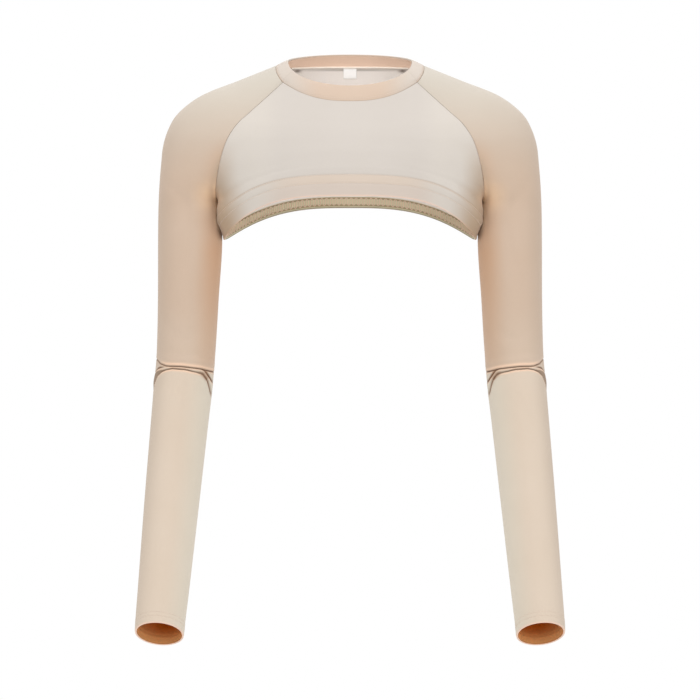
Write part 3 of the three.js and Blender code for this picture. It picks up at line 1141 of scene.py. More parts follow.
@dataclass
class StitchRows:
    """Rows of single stitches lying on a cloth, made as one piece.

    Attributes:
        name: The piece's name.
        finish: The thread's finish.
        pitch: The distance from one stitch to the next, in millimetres.
        length: The length of a stitch, in millimetres.
        radius: The thread's radius, in millimetres.
        places: The middle, direction and upward normal of each stitch, row by row.
    """

    name: str
    finish: ThreadFinish
    pitch: float = STITCH_PITCH
    length: float = 2.3
    radius: float = 0.34
    places: list[tuple[Array, Array, Array]] = field(default_factory=list)
    SEGMENTS, RINGS = 6, 5
    FLATTENED, DIP = 0.8, 0.5

    def follow(self, path: Array, normals: Array) -> None:
        """Sets out a row of stitches along a path on the cloth.

        Args:
            path: The path's points, in millimetres.
            normals: The direction away from the cloth at each point.
        """
        path = path + normals * STITCH_LIFT
        along = arc_lengths(path[None], 1)[0]
        count = max(1, int(along[-1] / self.pitch))
        middles = (np.arange(count) + 0.5) * along[-1] / count
        before, after = (read_rows(middles + step, along, path) for step in (-0.5, 0.5))
        up = unit(read_rows(middles, along, normals))
        self.places.append((read_rows(middles, along, path), unit(after - before), up))

    def _stitch(self) -> tuple[Array, list[tuple[int, ...]]]:
        """Models one stitch, a thread that dips into the cloth at both ends.

        Returns:
            Its points, in millimetres, and its faces.
        """
        bpy.ops.object.select_all(action="DESELECT")
        bpy.ops.mesh.primitive_uv_sphere_add(
            segments=self.SEGMENTS, ring_count=self.RINGS, radius=1.0, rotation=(0, math.pi / 2, 0)
        )
        bpy.ops.object.transform_apply(rotation=True)
        model = bpy.context.object
        mesh = model.data
        points = np.array([vertex.co[:] for vertex in mesh.vertices])
        # A new sphere lists its faces in another order each run.
        faces = sorted(tuple(polygon.vertices) for polygon in mesh.polygons)
        bpy.data.objects.remove(model)
        bpy.data.meshes.remove(mesh)
        points[:, 2] = points[:, 2] * self.FLATTENED - self.DIP * points[:, 0] ** 2
        return points * [self.length / 2, self.radius, self.radius], faces

    def build(self) -> bpy.types.Object:
        """Makes a copy of the stitch at every place.

        Returns:
            The stitches, as one object.
        """
        points, faces = self._stitch()
        middles, along, up = (np.vstack(parts) for parts in zip(*self.places))
        across = unit(np.cross(up, along))
        axes = (along, across, np.cross(along, across))
        turned = sum(points[None, :, i, None] * axis[:, None, :] for i, axis in enumerate(axes))
        placed = (middles[:, None, :] + turned).reshape(-1, 3)
        copies = [
            tuple(corner + copy * len(points) for corner in face)
            for copy in range(len(middles))
            for face in faces
        ]
        return thread_mesh(self.name, placed, copies, self.finish)


@dataclass
class SewnThread:
    """Runs of thread or cord sewn to the cloth, each a thin tube, made as one piece.

    Attributes:
        name: The piece's name.
        finish: The thread's finish.
        radius: The thread's radius, in millimetres.
        sides: How many sides the tube has.
        paths: The points and away-from-the-cloth directions of each run of thread.
    """

    name: str
    finish: ThreadFinish
    radius: float
    sides: int = 5
    paths: list[tuple[Array, Array]] = field(default_factory=list)

    def build(self) -> bpy.types.Object:
        """Makes the runs of thread, closed at their ends.

        Returns:
            The threads, as one object.
        """
        points: list[Array] = []
        faces: list[tuple[int, ...]] = []
        turns = np.arange(self.sides) * math.tau / self.sides
        for path, normals in self.paths:
            along = unit(np.gradient(path, axis=0))
            across = unit(np.cross(normals, along))
            up = np.cross(along, across)
            ring = across[:, None] * np.cos(turns)[:, None] + up[:, None] * np.sin(turns)[:, None]
            first = sum(len(part) for part in points)
            points.append((path[:, None] + self.radius * ring).reshape(-1, 3))
            last = first + (len(path) - 1) * self.sides
            for start in range(first, last, self.sides):
                ahead = start + self.sides
                for side in range(self.sides):
                    far = (side + 1) % self.sides
                    faces.append((start + side, start + far, ahead + far, ahead + side))
            faces.append(tuple(reversed(range(first, first + self.sides))))
            faces.append(tuple(range(last, last + self.sides)))
        return thread_mesh(self.name, np.vstack(points), faces, self.finish)


def seat(piece: bpy.types.Object, slot: str, *nodes: str) -> bpy.types.Object:
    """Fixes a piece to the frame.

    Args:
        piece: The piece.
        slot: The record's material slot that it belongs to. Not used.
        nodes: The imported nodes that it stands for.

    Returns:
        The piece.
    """
    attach(piece, "root")
    if nodes:
        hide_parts(*nodes)
    return piece


@dataclass
class HemSewing:
    """Sews a hem onto a grid of cloth: needle rows on its outer face and looper threads behind.

    Attributes:
        name: The start of the pieces' names.
        hem: The hem's measures.
        points: The cloth's outer face, its first row being the edge.
        outwards: The direction out of the cloth at each point.
        slot: The record's material slot.
    """

    name: str
    hem: Hem
    points: Array
    outwards: Array
    slot: str
    LOOPER_RADIUS, LOOPER_SUNK = 0.45, 0.25
    LOOPER_END, LOOPER_SWAY, STEPS_PER_STITCH = 0.4, 0.7, 6

    def _row(self, above: float) -> tuple[Array, Array]:
        """Finds the points at one height above the edge, column by column.

        Args:
            above: The height above the edge.

        Returns:
            The points and their outward directions.
        """
        heights = arc_lengths(self.points, 0)
        path, normals = (
            np.array([read_rows(above, heights[:, c], grid[:, c]) for c in range(heights.shape[1])])
            for grid in (self.points, self.outwards)
        )
        return path, unit(normals)

    def build(self, needle: ThreadFinish, looper: ThreadFinish | None = None) -> list[bpy.types.Object]:
        """Makes the stitches and the threads behind them.

        Args:
            needle: The finish of the needle thread.
            looper: The finish of the looper thread. A blind hem has none.

        Returns:
            The new pieces.
        """
        stitches = StitchRows(f"{self.name}_stitches", needle, self.hem.pitch)
        for row in self.hem.rows:
            stitches.follow(*self._row(row))
        made = [seat(stitches.build(), self.slot)]
        if looper is not None:
            made.append(seat(self._looper(looper), self.slot))
        return made

    def _looper(self, finish: ThreadFinish) -> bpy.types.Object:
        """Makes the looper's zigzag between the lowest and the highest needle row.

        Args:
            finish: The finish of the looper thread.

        Returns:
            The zigzag.
        """
        pitch = self.hem.pitch
        lower, upper = (self._row(row) for row in (min(self.hem.rows), max(self.hem.rows)))
        along = arc_lengths(lower[0][None], 1)[0]
        steps = np.arange(self.LOOPER_END, along[-1] - self.LOOPER_END, pitch / self.STEPS_PER_STITCH)
        swing = 0.5 + 0.5 * np.cos(np.pi * steps / pitch)
        sway = steps + self.LOOPER_SWAY * np.sin(2 * np.pi * steps / pitch)
        sides = [[read_rows(sway, along, grid) for grid in row] for row in (lower, upper)]
        path, out = (low + (high - low) * swing[:, None] for low, high in zip(*sides))
        behind = -unit(out)
        threads = SewnThread(f"{self.name}_looper", finish, self.LOOPER_RADIUS)
        threads.paths.append((path + behind * (TURNED_WALL + self.LOOPER_SUNK * threads.radius), behind))
        return threads.build()


@dataclass
class RaglanSleeve:
    """One long sleeve with a bent elbow and a turned cuff.

    Attributes:
        form: The sleeve's surface.
        side: Which of the wearer's arms it covers.
        outer: The finish of its outer face.
        inner: The finish of its inner face.
        needle: The finish of the cuff's thread.
        hem: The cuff's hem.
        columns: How many steps go round the arm.
    """

    form: SleeveForm
    side: Side
    outer: KnitFinish
    inner: KnitFinish
    needle: ThreadFinish
    hem: Hem = Hem(12.6, (8.2, 12.6), step=0.15, groove=0.22)
    columns: int = 104
    DRAG_LINES = (
        Dent((171.0, -162.0), (186.0, -232.0), 0.8, 7.0),
        Dent((204.0, -120.0), (176.0, -158.0), 0.7, 6.0),
        Dent((160.0, -288.0), (196.0, -306.0), 0.7, 6.0),
        Dent((214.0, -276.0), (186.0, -300.0), 0.6, 6.0),
        Dent((170.0, -372.0), (202.0, -350.0), 0.6, 5.0),
        Dent((210.0, -404.0), (186.0, -366.0), 0.5, 6.0),
        Dent((171.0, -336.5), (160.6, -345.0), 0.7, 0.8),
    )
    ARM_RADIUS = 34.0
    ELBOW_LAP = 55.0
    ARMPIT_REACH = 30.0
    CUFF_REACH = 20.0
    TURN_FADE = (-4.0, 7.0)
    # The shade's strength beside the body, by height.
    SIDE_SHADE = (
        (-345.0, 0.0), (-320.0, 0.25), (-200.0, 0.56), (-150.0, 0.3), (-120.0, 0.22), (-95.0, 0.2),
        (-75.0, 0.0),
    )  # fmt: skip
    # The light thrown back by the panel, by how far round the sleeve turns towards the body.
    PANEL_GLOW = (
        (0.1, 0.0), (0.3, 0.1), (0.5, 0.25), (0.68, 0.48), (0.75, 0.48), (0.85, 0.36), (0.93, 0.8),
        (1.0, 1.0),
    )  # fmt: skip
    # The height and the spread of that light, of its core and of the shadow by the raglan seam.
    PANEL_GLOW_Z, CORE_GLOW_Z, SEAM_SHADOW_Z = (-140.0, 15.0), (-151.0, 19.0), (-112.0, 18.0)

    def _rows(self) -> Array:
        """Spaces the mesh rows, closest at the cuff and the elbow.

        Returns:
            The rows' places along the sleeve.
        """
        place = self.form.place
        stops = (
            0.0,
            16.0,
            place("upper_forearm") + 4.0,
            place("lower_elbow") - 16.0,
            place("lower_elbow") - 4.0,
            place("upper_elbow") + 2.0,
            place("upper_elbow") + 24.0,
            place("under_armpit"),
            place("armpit"),
            place("neck"),
        )
        return spread(stops, (0.75, 4.2, 0.9, 0.6, 0.5, 0.9, 4.2, 2.0, 2.6))

    def _shares(self) -> Array:
        """Returns the mesh columns' shares of the way round."""
        return np.linspace(0, 1, self.columns + 1)

    def _points(self) -> Array:
        """Works out the outer face on the left side, with soft drag lines and the cuff's hem.

        Returns:
            The points, rows by columns by xyz.
        """
        points = self.form.points(self._rows(), self._shares())
        outwards = grid_normals(points)
        in_front = smoothstep(-outwards[..., 1], 0.0, 0.6)
        drawn = sum(dent.depths(points) for dent in self.DRAG_LINES) * in_front
        proud = self.hem.rise(arc_lengths(points, 0), arc_lengths(points, 1)) - drawn
        return points + outwards * proud[..., None]

    def _marks(self, points: Array) -> dict[str, Array]:
        """Marks the light and shade painted on the sleeve: painted light on the forearm, the inner forearm and
        the shoulder top, painted shade beside the body, outside and by the raglan seam, painted light in the
        armpit crevice, and painted warm shade deep inside the cuff.

        Args:
            points: The outer face's points on the left side.

        Returns:
            The marks by name.
        """
        height = points[..., 2]
        above, along = arc_lengths(points, 0), arc_lengths(points, 1)
        at, armpit = self._rows()[:, None], self.form.place("armpit")
        by_seam, raglan = np.minimum(along, along[:, -1:] - along), at > armpit
        lap = self.ELBOW_LAP * smoothstep(-np.sin(self._shares() * math.tau), -0.1, 0.7)
        elbow = (self.form.place("lower_elbow") + 4.0, self.form.place("upper_elbow") + 2.0)
        lower = 1.0 - smoothstep(at, elbow[0] - lap, elbow[1] + lap)
        upper = smoothstep(height, -135.0, 12.0)
        centre = (points.min(axis=1) + points.max(axis=1))[:, None, 0] / 2
        towards_body = (centre - points[..., 0]) / self.ARM_RADIUS
        outer, outer_edge = smoothstep(-towards_body, 0.0, 0.8), smoothstep(-towards_body, 0.35, 1.0)
        strength = graph(height, self.SIDE_SHADE)
        beside = smoothstep(towards_body, 0.15, 1.02) * strength * (at <= armpit + self.ARMPIT_REACH)
        beside = np.maximum(beside, bell(by_seam, 13.0) * strength * raglan)
        near_panel, near_core, near_seam = (
            bell(height - middle, width)
            for middle, width in (self.PANEL_GLOW_Z, self.CORE_GLOW_Z, self.SEAM_SHADOW_Z)
        )
        glow = graph(towards_body, self.PANEL_GLOW) * near_panel
        core = smoothstep(towards_body, 0.78, 0.95) * near_core
        seam_shadow = 0.8 * bell(by_seam, 5.0) * near_seam * raglan
        return {
            # Painted light: the forearm, tilted up towards the light, is painted paler, and the lower part of
            # the upper arm a little.
            "pale": np.maximum(lower, 0.3 * smoothstep(-height, 245.0, 310.0)),
            # Painted light on the inner side of the forearm.
            "lit": lower * smoothstep(towards_body, 0.1, 0.9),
            # Painted light: the sleeve is painted lighter and greyer towards the top of the shoulder, where the
            # light falls from above.
            "top": upper,
            # Painted shade on the outer side of the arm, stronger on the forearm, and a painted shadow along
            # the raglan seam.
            "outer": np.maximum((0.28 + 0.17 * lower) * outer_edge * (1.0 - upper), seam_shadow),
            "shade": np.maximum(beside, 0.07 * outer_edge * (1.0 - upper)),
            # Painted light between the arm and the panel, standing in for the light the panel throws back into
            # the armpit.
            "crevice_light": np.maximum(glow, core) * smoothstep(-points[..., 1], -2.0, 12.0),
            # Painted shade in the elbow's creases and hollow, and painted highlights on the lips beside the
            # creases.
            **self.form.elbow_marks(self._rows(), self._shares()),
            # Painted highlight along the cuff's rolled edge.
            "edge": bell(above, 1.0),
            # Painted shade and warm reflected light inside the sleeve: the lining is painted warmer up the
            # forearm and deep orange inside the cuff, less on the outer side.
            "forearm": 1.0 - smoothstep(above, 170.0, 330.0),
            "deep": plateau(above, (1.0, 24.0), (70.0, 170.0)) * (1.0 - 0.4 * outer),
        }

    def build(self) -> bpy.types.Object:
        """Makes the sleeve and its stitching.

        Returns:
            The sleeve.
        """
        points = self._points()
        above = arc_lengths(points, 0)
        start, end = (self.hem.height + step for step in self.TURN_FADE)
        mirror = np.array([self.side.value, 1.0, 1.0])
        side = self.side.name.lower()
        grid = ClothGrid(
            f"{side}_sleeve_knit",
            points * mirror,
            self._marks(points),
            (CLOTH_WALL, TURNED_WALL),
            1.0 - smoothstep(above, start, end),
            inside_out=self.side is Side.RIGHT,
        )
        sleeve = seat(grid.build(self.outer, self.inner), "sleeve_knit", f"{side}_sleeve")
        edge = slice(0, int(np.searchsorted(above[:, 0], self.CUFF_REACH)) + 1)
        outwards = grid_normals(points)[edge] * mirror
        sewing = HemSewing(f"{side}_cuff", self.hem, points[edge] * mirror, outwards, "sleeve_knit")
        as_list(sewing.build(self.needle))
        return sleeve


@dataclass
class BodyPanel:
    """The cropped front or back of the shrug, with a turned hem.

    Attributes:
        form: The panel's surface.
        outer: The finish of its outer face.
        inner: The finish of its inner face.
        needle: The finish of the hem's needle thread.
        looper: The finish of the hem's looper thread.
        dents: Soft folds in the cloth.
        hem: The panel's hem.
        columns: How many steps go from seam to seam.
        rows: How many steps go up to the hem line, on to the armpit and on to the neck.
    """

    form: PanelForm
    outer: KnitFinish
    inner: KnitFinish
    needle: ThreadFinish
    looper: ThreadFinish
    dents: tuple[Dent, ...] = ()
    hem: Hem = Hem(22.5, (14.0, 23.2))
    columns: int = 150
    rows: tuple[int, ...] = (28, 10, 65)
    SEWN_ROWS = 40
    TURN_FADE = (-0.2, 1.0)
    # Each height's shade beside the arm: its strength, and how far from the edge it starts and stops fading.
    SIDE_SHADE = (
        (-185.0, 0.75, 8.0, 28.0), (-172.0, 0.74, 6.0, 32.0), (-157.0, 0.74, 4.0, 37.0),
        (-140.0, 0.68, 3.0, 39.0), (-124.0, 0.53, 1.0, 33.0), (-111.0, 0.43, 0.0, 28.0),
        (-95.0, 0.18, 0.0, 24.0), (-80.0, 0.0, 0.0, 24.0),
    )  # fmt: skip
    CREVICE_Z = -142.0
    # Where the painted shadow pockets at the ends of the neck tape lie.
    NECK_CORNER_X = 61.0

    def _points(self) -> Array:
        """Works out the outer face, with soft folds and the hem.

        Returns:
            The points, rows by columns by xyz.
        """
        runs = [np.linspace(level, level + 1, steps + 1)[1:] for level, steps in enumerate(self.rows)]
        points = self.form.points(np.concatenate([[0.0], *runs]), np.linspace(-1, 1, self.columns + 1))
        above, along = arc_lengths(points, 0), arc_lengths(points, 1)
        drawn = sum((dent.depths(points) for dent in self.dents), np.zeros(above.shape))
        return points + self._outwards(points) * (self.hem.rise(above, along) - drawn)[..., None]

    def _outwards(self, points: Array) -> Array:
        """Returns the direction out of the cloth at each point."""
        return grid_normals(points) * -self.form.facing.value

    def _marks(self, points: Array) -> dict[str, Array]:
        """Marks the hem's bands, and the light and shade painted on the panel: painted shade beside the arms,
        along the needle rows and under the neck, painted light on the flanks and in the crevices, and the hem
        edge's painted highlight and dark line.

        Args:
            points: The outer face's points.

        Returns:
            The marks by name.
        """
        above, height, aside = arc_lengths(points, 0), points[..., 2], np.abs(points[..., 0])
        low, high = self.hem.rows
        between = plateau(above, (low - 0.6, low + 0.6), (high - 0.8, high + 0.4))
        from_edge = aside.max(axis=1, keepdims=True) - aside
        levels, *columns = zip(*self.SIDE_SHADE)
        strength, near, far = (np.interp(height, levels, column) for column in columns)
        down = above[-1:] - above
        # Painted shadow pockets at the ends of the neck tape.
        corner_shadows = bell(aside - self.NECK_CORNER_X, 4.5) * bell(down - 4.0, 2.5)
        return {
            # Painted light: the panel's sides are painted lighter where they turn away from the light.
            "flank_light": 0.9 * smoothstep(aside, 70.0, 105.0),
            "between": between * (1.0 - 0.65 * smoothstep(aside, 50.0, 115.0)),
            # Painted shade just above the groove of the upper needle row.
            "upper_row": bell(above - high - 0.3, 0.9) * (0.25 + 0.45 * smoothstep(aside, 40.0, 110.0)),
            "below": 1.0 - smoothstep(above, low - 1.0, low + 0.4),
            "shade": strength * (1.0 - smoothstep((from_edge - near) / (far - near), 0.0, 1.0)),
            # Painted light in the crevice beside the arm.
            "crevice_light": 0.5 * bell(height - self.CREVICE_Z, 10.0) * bell(from_edge, 6.0),
            # The hem edge: a painted highlight on the front's outer face, and a painted dark shade line on the
            # back's inner face.
            "edge": bell(above, 1.2),
            "hem": 1.0 - smoothstep(above, high + 0.5, high + 2.0),
            # Painted shade in the grooves of the needle rows, on the back's inner face.
            "rows": sum(bell(above - row, 0.8) for row in self.hem.rows),
            # Painted shadow below the neck tape, and in the pockets at its ends.
            "neck_shadow": np.maximum(0.9 * bell(down - 2.7, 0.8), corner_shadows),
        }

    def build(self) -> bpy.types.Object:
        """Makes the panel and its stitching.

        Returns:
            The panel.
        """
        points = self._points()
        start, end = (self.hem.height + step for step in self.TURN_FADE)
        facing = self.form.facing.name.lower()
        grid = ClothGrid(
            f"{facing}_panel_knit",
            points,
            self._marks(points),
            (CLOTH_WALL, TURNED_WALL),
            1.0 - smoothstep(arc_lengths(points, 0), start, end),
            inside_out=self.form.facing is Facing.BACK,
        )
        panel = seat(grid.build(self.outer, self.inner), "panel_knit", f"{facing}_panel")
        edge, outwards = points[: self.SEWN_ROWS], self._outwards(points)[: self.SEWN_ROWS]
        sewing = HemSewing(f"{facing}_hem", self.hem, edge, outwards, "panel_knit")
        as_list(sewing.build(self.needle, self.looper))
        return panel


@dataclass
class NeckBand:
    """The crew neck's folded band, stitched down along the neck seam.

    Attributes:
        form: The neck seam and rim.
        outer: The band's finish.
        needle: The finish of its thread.
        thickness: The folded band's thickness, in millimetres.
        rows: How many rows of points go up the band's face.
    """

    form: NeckForm
    outer: KnitFinish
    needle: ThreadFinish
    thickness: float = 1.9
    rows: int = 15
    GAP, BOW = 0.8, 1.2
    FOLD_STEPS = 8
    EDGE_DIP, EDGE_WIDTH = 0.35, 1.0
    ROW_HEIGHT, ROW_DIP, ROW_WIDTH, PUCKER = 2.0, 0.4, 0.8, 0.3
    STITCH_LENGTH, STITCH_RADIUS = 2.2, 0.3
    # The place and the spread of the shaded inner corners.
    CORNER_X, CORNER_Y = (63.0, 3.0), (21.0, 14.0)

    def _faces(self) -> tuple[Array, Array]:
        """Works out the band's outer face, from just above the seam to the rim.

        Returns:
            Its points and their outward directions, rows by columns by xyz.
        """
        seam = self.form.seam()
        rise = self.form.rim(seam) - seam
        start = (self.GAP / np.linalg.norm(rise, axis=-1))[None, :]
        shares = start + np.linspace(0, 1, self.rows)[:, None] * (1.0 - start)
        bow = (self.BOW * 4 * shares * (1 - shares))[..., None] * level_outwards(seam)[None]
        points = seam[None] + rise[None] * shares[..., None] + bow
        closed = np.concatenate([points, points[:, :1]], axis=1)
        wrapped = np.concatenate([points[:, -1:], points, points[:, :2]], axis=1)
        return closed, grid_normals(wrapped)[:, 1:-1]

    def _folded(self, points: Array, outwards: Array) -> tuple[Array, Array]:
        """Folds the band over at its rim and closes it behind.

        Args:
            points: The outer face's points.
            outwards: Their outward directions.

        Returns:
            The closed grid's points, and 1 at those of the inner face.
        """
        half = self.thickness / 2
        turns = np.linspace(0.0, math.pi, self.FOLD_STEPS + 1)[1:-1]
        up = unit(points[-1] - points[-2])
        middle = points[-1] - outwards[-1] * half - up * half
        fold = [middle + half * (outwards[-1] * math.cos(turn) + up * math.sin(turn)) for turn in turns]
        inside = (points - outwards * self.thickness)[:-1][::-1]
        grid = np.concatenate([points[:-1], np.stack(fold), inside, points[:1]])
        inner = np.zeros(grid.shape[:2])
        inner[len(points) + len(turns) - 1 : -1] = 1.0
        return grid, inner

    def build(self) -> bpy.types.Object:
        """Makes the band with its rounded fold, and the row of stitches along its seam.

        Returns:
            The band.
        """
        points, outwards = self._faces()
        above, along = arc_lengths(points, 0), arc_lengths(points, 1)
        dip = self.EDGE_DIP * bell(above, self.EDGE_WIDTH)
        row_dip = self.ROW_DIP * puckers(along, STITCH_PITCH, self.PUCKER)
        dip = dip + row_dip * bell(above - self.ROW_HEIGHT, self.ROW_WIDTH)
        points = points - outwards * dip[..., None]
        grid, inner = self._folded(points, outwards)
        aside = np.abs(grid[..., 0])
        (corner_x, width), (corner_y, depth) = self.CORNER_X, self.CORNER_Y
        corner_shadows = bell(aside - corner_x, width) * bell(grid[..., 1] - corner_y, depth)
        by_seam = 1.0 - smoothstep(arc_lengths(grid[::-1], 0)[::-1], 1.0, 5.0)
        marks = {
            # The inner face: partly its own peach colour, and partly painted lighter to stand in for the light
            # that reaches inside the neck.
            "inner": inner,
            # Painted light: the band is painted greyer towards its sides and warmer in front, where light is
            # thrown back onto it.
            "sides": smoothstep(aside, 30.0, 74.0) * (1.0 - inner),
            "shade": corner_shadows * inner * by_seam,
        }
        band = seat(ClothGrid("neck_band_knit", grid, marks).build(self.outer), "band_knit", "neck_band")
        stitches = StitchRows(
            "neck_band_stitches", self.needle, length=self.STITCH_LENGTH, radius=self.STITCH_RADIUS
        )
        row = int(np.argmin(np.abs(above[:, 0] - self.ROW_HEIGHT)))
        stitches.follow(points[row], outwards[row])
        made = seat(stitches.build(), "band_knit")
        return band


@dataclass
class NeckTape:
    """The narrow corded tape that covers the neck seam across the inside of the back.

    Attributes:
        panel: The back panel's surface, which the tape lies on.
        finish: The tape's finish.
        half_width: How far it reaches from the middle, as a share of the panel's neck edge.
        radius: The cord's radius, in millimetres.
        below: How far below the neck edge it lies, in millimetres.
        clear: How far inside the panel's outer face it lies, in millimetres.
    """

    panel: PanelForm
    finish: ThreadFinish
    half_width: float = 0.88
    radius: float = 1.05
    below: float = 0.4
    clear: float = 1.4
    POINTS, SIDES, UNDER_NECK = 121, 8, 2.985

    def build(self) -> bpy.types.Object:
        """Makes the tape.

        Returns:
            The tape.
        """
        across = np.linspace(-self.half_width, self.half_width, self.POINTS)
        under, edge = self.panel.points(np.array([self.UNDER_NECK, PanelForm.NECK]), across)
        inwards = -level_outwards(edge)
        path = edge + unit(under - edge) * self.below + inwards * (self.clear + self.radius)
        tape = SewnThread("back_neck_tape", self.finish, self.radius, self.SIDES, [(path, inwards)])
        return seat(tape.build(), "band_knit")


@dataclass
class InsideSeams:
    """The overlocked edges inside the raglan and neck seams, which close the joins from behind.

    Attributes:
        neck: The neck seam, and the panels and sleeve that meet there.
        finish: The finish of the overlocked edges.
        radius: Their radius, in millimetres.
        inside: How far they lie within the outer face, in millimetres.
    """

    neck: NeckForm
    finish: ThreadFinish
    radius: float = 0.9
    inside: float = 1.35
    POINTS, SIDES = 90, 6
    SEAM_START, BY_SEAM = 2.001, (0.97, 0.985, 1.0)

    def build(self) -> bpy.types.Object:
        """Makes the four raglan edges and the one round the neck.

        Returns:
            The edges, as one object.
        """
        edges = SewnThread("inside_seams", self.finish, self.radius, self.SIDES)
        for panel in (self.neck.front, self.neck.back):
            levels = np.linspace(self.SEAM_START, PanelForm.NECK, self.POINTS)
            grid = panel.points(levels, np.array(self.BY_SEAM))
            inwards = grid_normals(grid)[:, -1] * panel.facing.value
            for side in Side:
                mirror = [side.value, 1.0, 1.0]
                edges.paths.append(((grid[:, -1] + inwards * self.inside) * mirror, inwards * mirror))
        seam = self.neck.seam()
        ring = np.vstack([seam, seam[:1]])
        inwards = -level_outwards(ring)
        edges.paths.append((ring + inwards * self.inside, inwards))
        return seat(edges.build(), "panel_knit")


@dataclass
class NeckLabel:
    """The small blank label inside the back of the neck.

    Attributes:
        panel: The back panel's surface, which the label lies on.
        finish: The tape's finish.
        width: The label's width, in millimetres.
        drop: The label's height, in millimetres.
        below: How far below the neck edge its top lies, in millimetres.
        clear: How far inside the panel's outer face it lies, in millimetres.
    """

    panel: PanelForm
    finish: TapeFinish
    width: float = 15.0
    drop: float = 13.0
    below: float = 1.2
    clear: float = 2.0
    ROWS, COLUMNS = 14, 16
    UNDER_NECK, LEVELS = 2.8, 40
    WALLS = (0.6, 0.9)
    FOLD, FOLD_WIDTH, SAG = 0.25, 1.2, 0.5

    def build(self) -> bpy.types.Object:
        """Makes the label, folded at its top and bottom and sagging a little between them.

        Returns:
            The label.
        """
        across = np.linspace(-0.5, 0.5, self.COLUMNS) * self.width
        edge = self.panel.points(np.array([PanelForm.NECK]), np.array([1.0]))[0, 0, 0]
        levels = np.linspace(self.UNDER_NECK, PanelForm.NECK, self.LEVELS)
        downwards = self.panel.points(levels, across / edge)[::-1]
        depth = arc_lengths(downwards, 0)
        wanted = self.below + self.drop * np.linspace(1, 0, self.ROWS)
        columns = [read_rows(wanted, depth[:, c], downwards[:, c]) for c in range(self.COLUMNS)]
        points = np.stack(columns, axis=1)
        points[..., 0] = across[None, :]
        ends = (self.below, self.below + self.drop)
        fold = self.FOLD * sum(bell(wanted - end, self.FOLD_WIDTH) for end in ends)
        sag = self.SAG * np.sin(np.pi * np.linspace(0, 1, self.ROWS))
        points[..., 1] -= self.clear + (sag - fold)[:, None]
        grid = ClothGrid("neck_label_tape", points, {}, self.WALLS, np.ones((self.ROWS, self.COLUMNS)))
        label = seat(grid.build(self.finish), "label_tape", "neck_label")
        return label


@dataclass
class Studio:
    """The plain pale studio: a floor well below the garment, soft lights and the camera.

    Attributes:
        distance: How far the camera stands from the garment, in metres.
        height: The camera's height, in metres.
        span: The width of the view at the garment, in metres.
        floor: The floor's height, in metres.
        floor_radius: The floor's radius, in metres.
        floor_sides: How many sides the round floor has.
    """

    distance: float = 2.6
    height: float = -0.31075
    span: float = 0.791
    floor: float = -0.95
    floor_radius: float = 1.4
    floor_sides: int = 96
    # Each light's place, width in metres and power in watts.
    LIGHTS = {
        "key": ((-0.35, -2.1, 1.75), 2.4, 46.0),
        "fill": ((1.6, -1.9, -0.6), 1.8, 9.0),
        "top": ((0.0, 0.7, 1.7), 1.6, 10.0),
        "back": ((0.2, 2.4, 0.7), 2.2, 10.0),
    }

    def build(self) -> None:
        """Makes the floor, the lights and the camera."""
        self._floor()
        self._world()
        for name, (place, size, power) in self.LIGHTS.items():
            self._light(name, place, size, power)
        self._camera()
        view = bpy.context.scene.view_settings
        view.view_transform = "Standard"
        view.look = "None"

    def _floor(self) -> None:
        """Makes the round floor."""
        bpy.ops.object.select_all(action="DESELECT")
        bpy.ops.mesh.primitive_circle_add(
            vertices=self.floor_sides, radius=self.floor_radius, fill_type="NGON", location=(0, 0, self.floor)
        )
        floor = bpy.context.object
        floor.name = "studio_floor"
        floor.data.materials.append(FLOOR_PAINT.material())

    def _world(self) -> None:
        """Makes the white surroundings."""
        world = bpy.data.worlds.new("studio_white")
        world.use_nodes = True
        light = world.node_tree.nodes["Background"].inputs
        light["Color"].default_value = (1.0, 1.0, 1.0, 1.0)
        light["Strength"].default_value = 1.0
        bpy.context.scene.world = world

    def _light(self, name: str, place: tuple[float, float, float], size: float, power: float) -> None:
        """Adds a soft square light that faces the garment.

        Args:
            name: The light's name.
            place: Where it stands.
            size: Its width.
            power: Its power in watts.
        """
        data = bpy.data.lights.new(name, "AREA")
        data.size = size
        data.energy = power
        light = bpy.data.objects.new(name, data)
        light.location = place
        x, y, z = np.array([0.0, 0.0, self.height]) - np.array(place)
        light.rotation_euler = (math.atan2(math.hypot(x, y), -z), 0.0, math.atan2(y, x) - math.pi / 2)
        bpy.context.collection.objects.link(light)

    def _camera(self) -> None:
        """Adds the camera, level and straight in front."""
        data = bpy.data.cameras.new("camera")
        data.angle = 2 * math.atan(self.span / 2 / self.distance)
        camera = bpy.data.objects.new("camera", data)
        camera.location = (0.0, -self.distance, self.height)
        camera.rotation_euler = (math.pi / 2, 0.0, 0.0)
        bpy.context.collection.objects.link(camera)
        bpy.context.scene.camera = camera


# The sleeve's painted light and shade: paler forearm, lit inner forearm, lighter shoulder top, shade outside
# and beside the body, light in the armpit crevice, highlights on the elbow's lips and the cuff edge, shade in
# the elbow's hollow and creases.
SLEEVE_KNIT = KnitFinish(
    "sleeve_knit_outer",
    "b29d8b",
    (
        ("pale", "bbac9c"),
        ("lit", "c0b7a8"),
        ("top", "b3aca1"),
        ("outer", "a09688"),
        ("shade", "b88558"),
        ("crevice_light", "f8d8b4"),
        ("lip", "d2b49c"),
        ("hollow", "84705e"),
        ("crease", "65401f"),
        ("edge", "d0b3a2"),
    ),
)
# The lining's warm forearm and deep orange cuff are painted shade and reflected light inside the tube.
SLEEVE_LINING = KnitFinish(
    "sleeve_knit_inner", "dccbbb", (("forearm", "d69a62"), ("deep", "b45606")), Face.WRONG, sheen=0.02
)
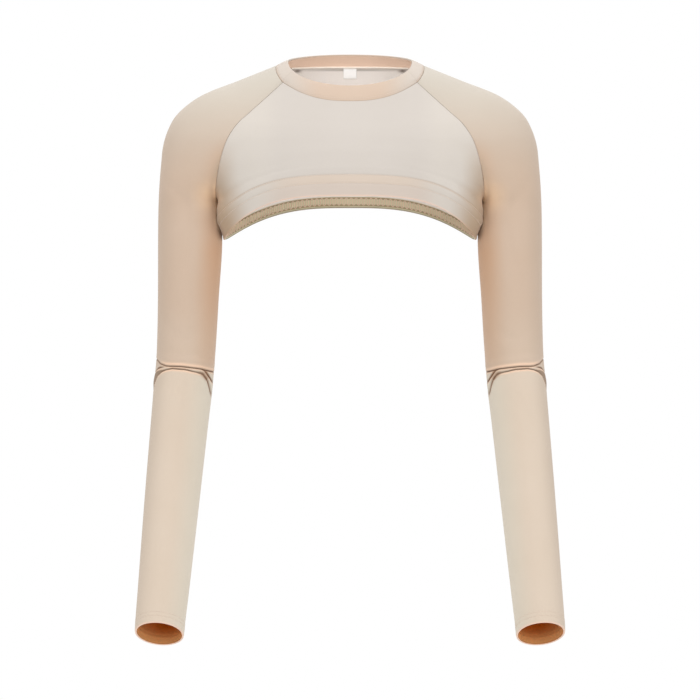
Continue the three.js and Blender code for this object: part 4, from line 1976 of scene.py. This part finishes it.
# Painted light and shade on the front: lighter flanks, shade beside the arms and along the upper needle row,
# light in the armpit crevices, and a highlight along the hem edge.
FRONT_KNIT = KnitFinish(
    "front_knit_outer",
    "b5aea7",
    (
        ("between", "bbada0"),
        ("below", "b6aaa0"),
        ("flank_light", "bab3ab"),
        ("upper_row", "9a8877"),
        ("edge", "d3b6a5"),
        ("shade", "957857"),
        ("crevice_light", "d2b496"),
    ),
)
FRONT_LINING = KnitFinish("front_knit_inner", "eae2dc", (("hem", "ccbfa3"),), Face.WRONG)
BACK_KNIT = KnitFinish("back_knit_outer", "b8b0a7", (("between", "bcac9f"), ("shade", "a58b74")))
# Painted shade on the back's inside: dark lines in the needle-row grooves and along the hem edge, and shadow
# under the neck tape and in the pockets at its ends.
BACK_LINING = KnitFinish(
    "back_knit_inner",
    "eae4df",
    (("hem", "cfc9ab"), ("rows", "857050"), ("edge", "6f6350"), ("neck_shadow", "54443a")),
    Face.WRONG,
)
# The band's colour change round its sides is painted light, its lighter inner face partly its own colour and
# partly painted light, and its dark inner corners painted shade.
BAND_KNIT = KnitFinish("band_knit", "b9a594", (("sides", "b8aea4"), ("inner", "e3c5b0"), ("shade", "3a2a20")))
NEEDLE_THREAD = ThreadFinish("needle_thread", "c2af9e")
LOOPER_THREAD = ThreadFinish("looper_thread", "e6c3ac")
SEAM_THREAD = ThreadFinish("seam_thread", "a08c79")
TAPE_CORD = ThreadFinish("neck_tape_cord", "fff6ea")
LABEL_TAPE = TapeFinish("label_tape_weave", "ffffff")
FRONT_DENTS = (
    Dent((-133.0, -150.0), (-112.0, -132.0), 0.7, 6.0),
    Dent((-138.0, -120.0), (-104.0, -104.0), 0.7, 8.0),
    Dent((136.0, -160.0), (128.0, -140.0), 0.9, 3.5),
    Dent((139.0, -168.0), (127.0, -156.0), 0.8, 3.0),
    Dent((138.0, -120.0), (104.0, -104.0), 0.7, 8.0),
)
BACK_HEM = Hem(12.4, (3.6, 12.2))
FLOOR_PAINT = StageFinish("studio_floor_paint", "f1f0ee")


def main() -> None:
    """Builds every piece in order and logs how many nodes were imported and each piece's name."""
    logging.basicConfig(level=logging.INFO, format="%(name)s: %(message)s")
    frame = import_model()
    Studio().build()
    LOG.info("studio, lights and camera for %d packed nodes", len(frame["nodes"]))
    sleeve = SleeveForm()
    front, back = (PanelForm(sleeve, facing) for facing in Facing)
    neck = NeckForm(sleeve, front, back)
    threads = (NEEDLE_THREAD, LOOPER_THREAD)
    pieces = (
        NeckBand(neck, BAND_KNIT, NEEDLE_THREAD),
        BodyPanel(front, FRONT_KNIT, FRONT_LINING, *threads, FRONT_DENTS),
        BodyPanel(back, BACK_KNIT, BACK_LINING, *threads, hem=BACK_HEM),
        *(RaglanSleeve(sleeve, side, SLEEVE_KNIT, SLEEVE_LINING, NEEDLE_THREAD) for side in Side),
        InsideSeams(neck, SEAM_THREAD),
        NeckTape(back, TAPE_CORD),
        NeckLabel(back, LABEL_TAPE),
    )
    for piece in pieces:
        LOG.info("%s", piece.build().name)


if __name__ == "__main__":
    main()
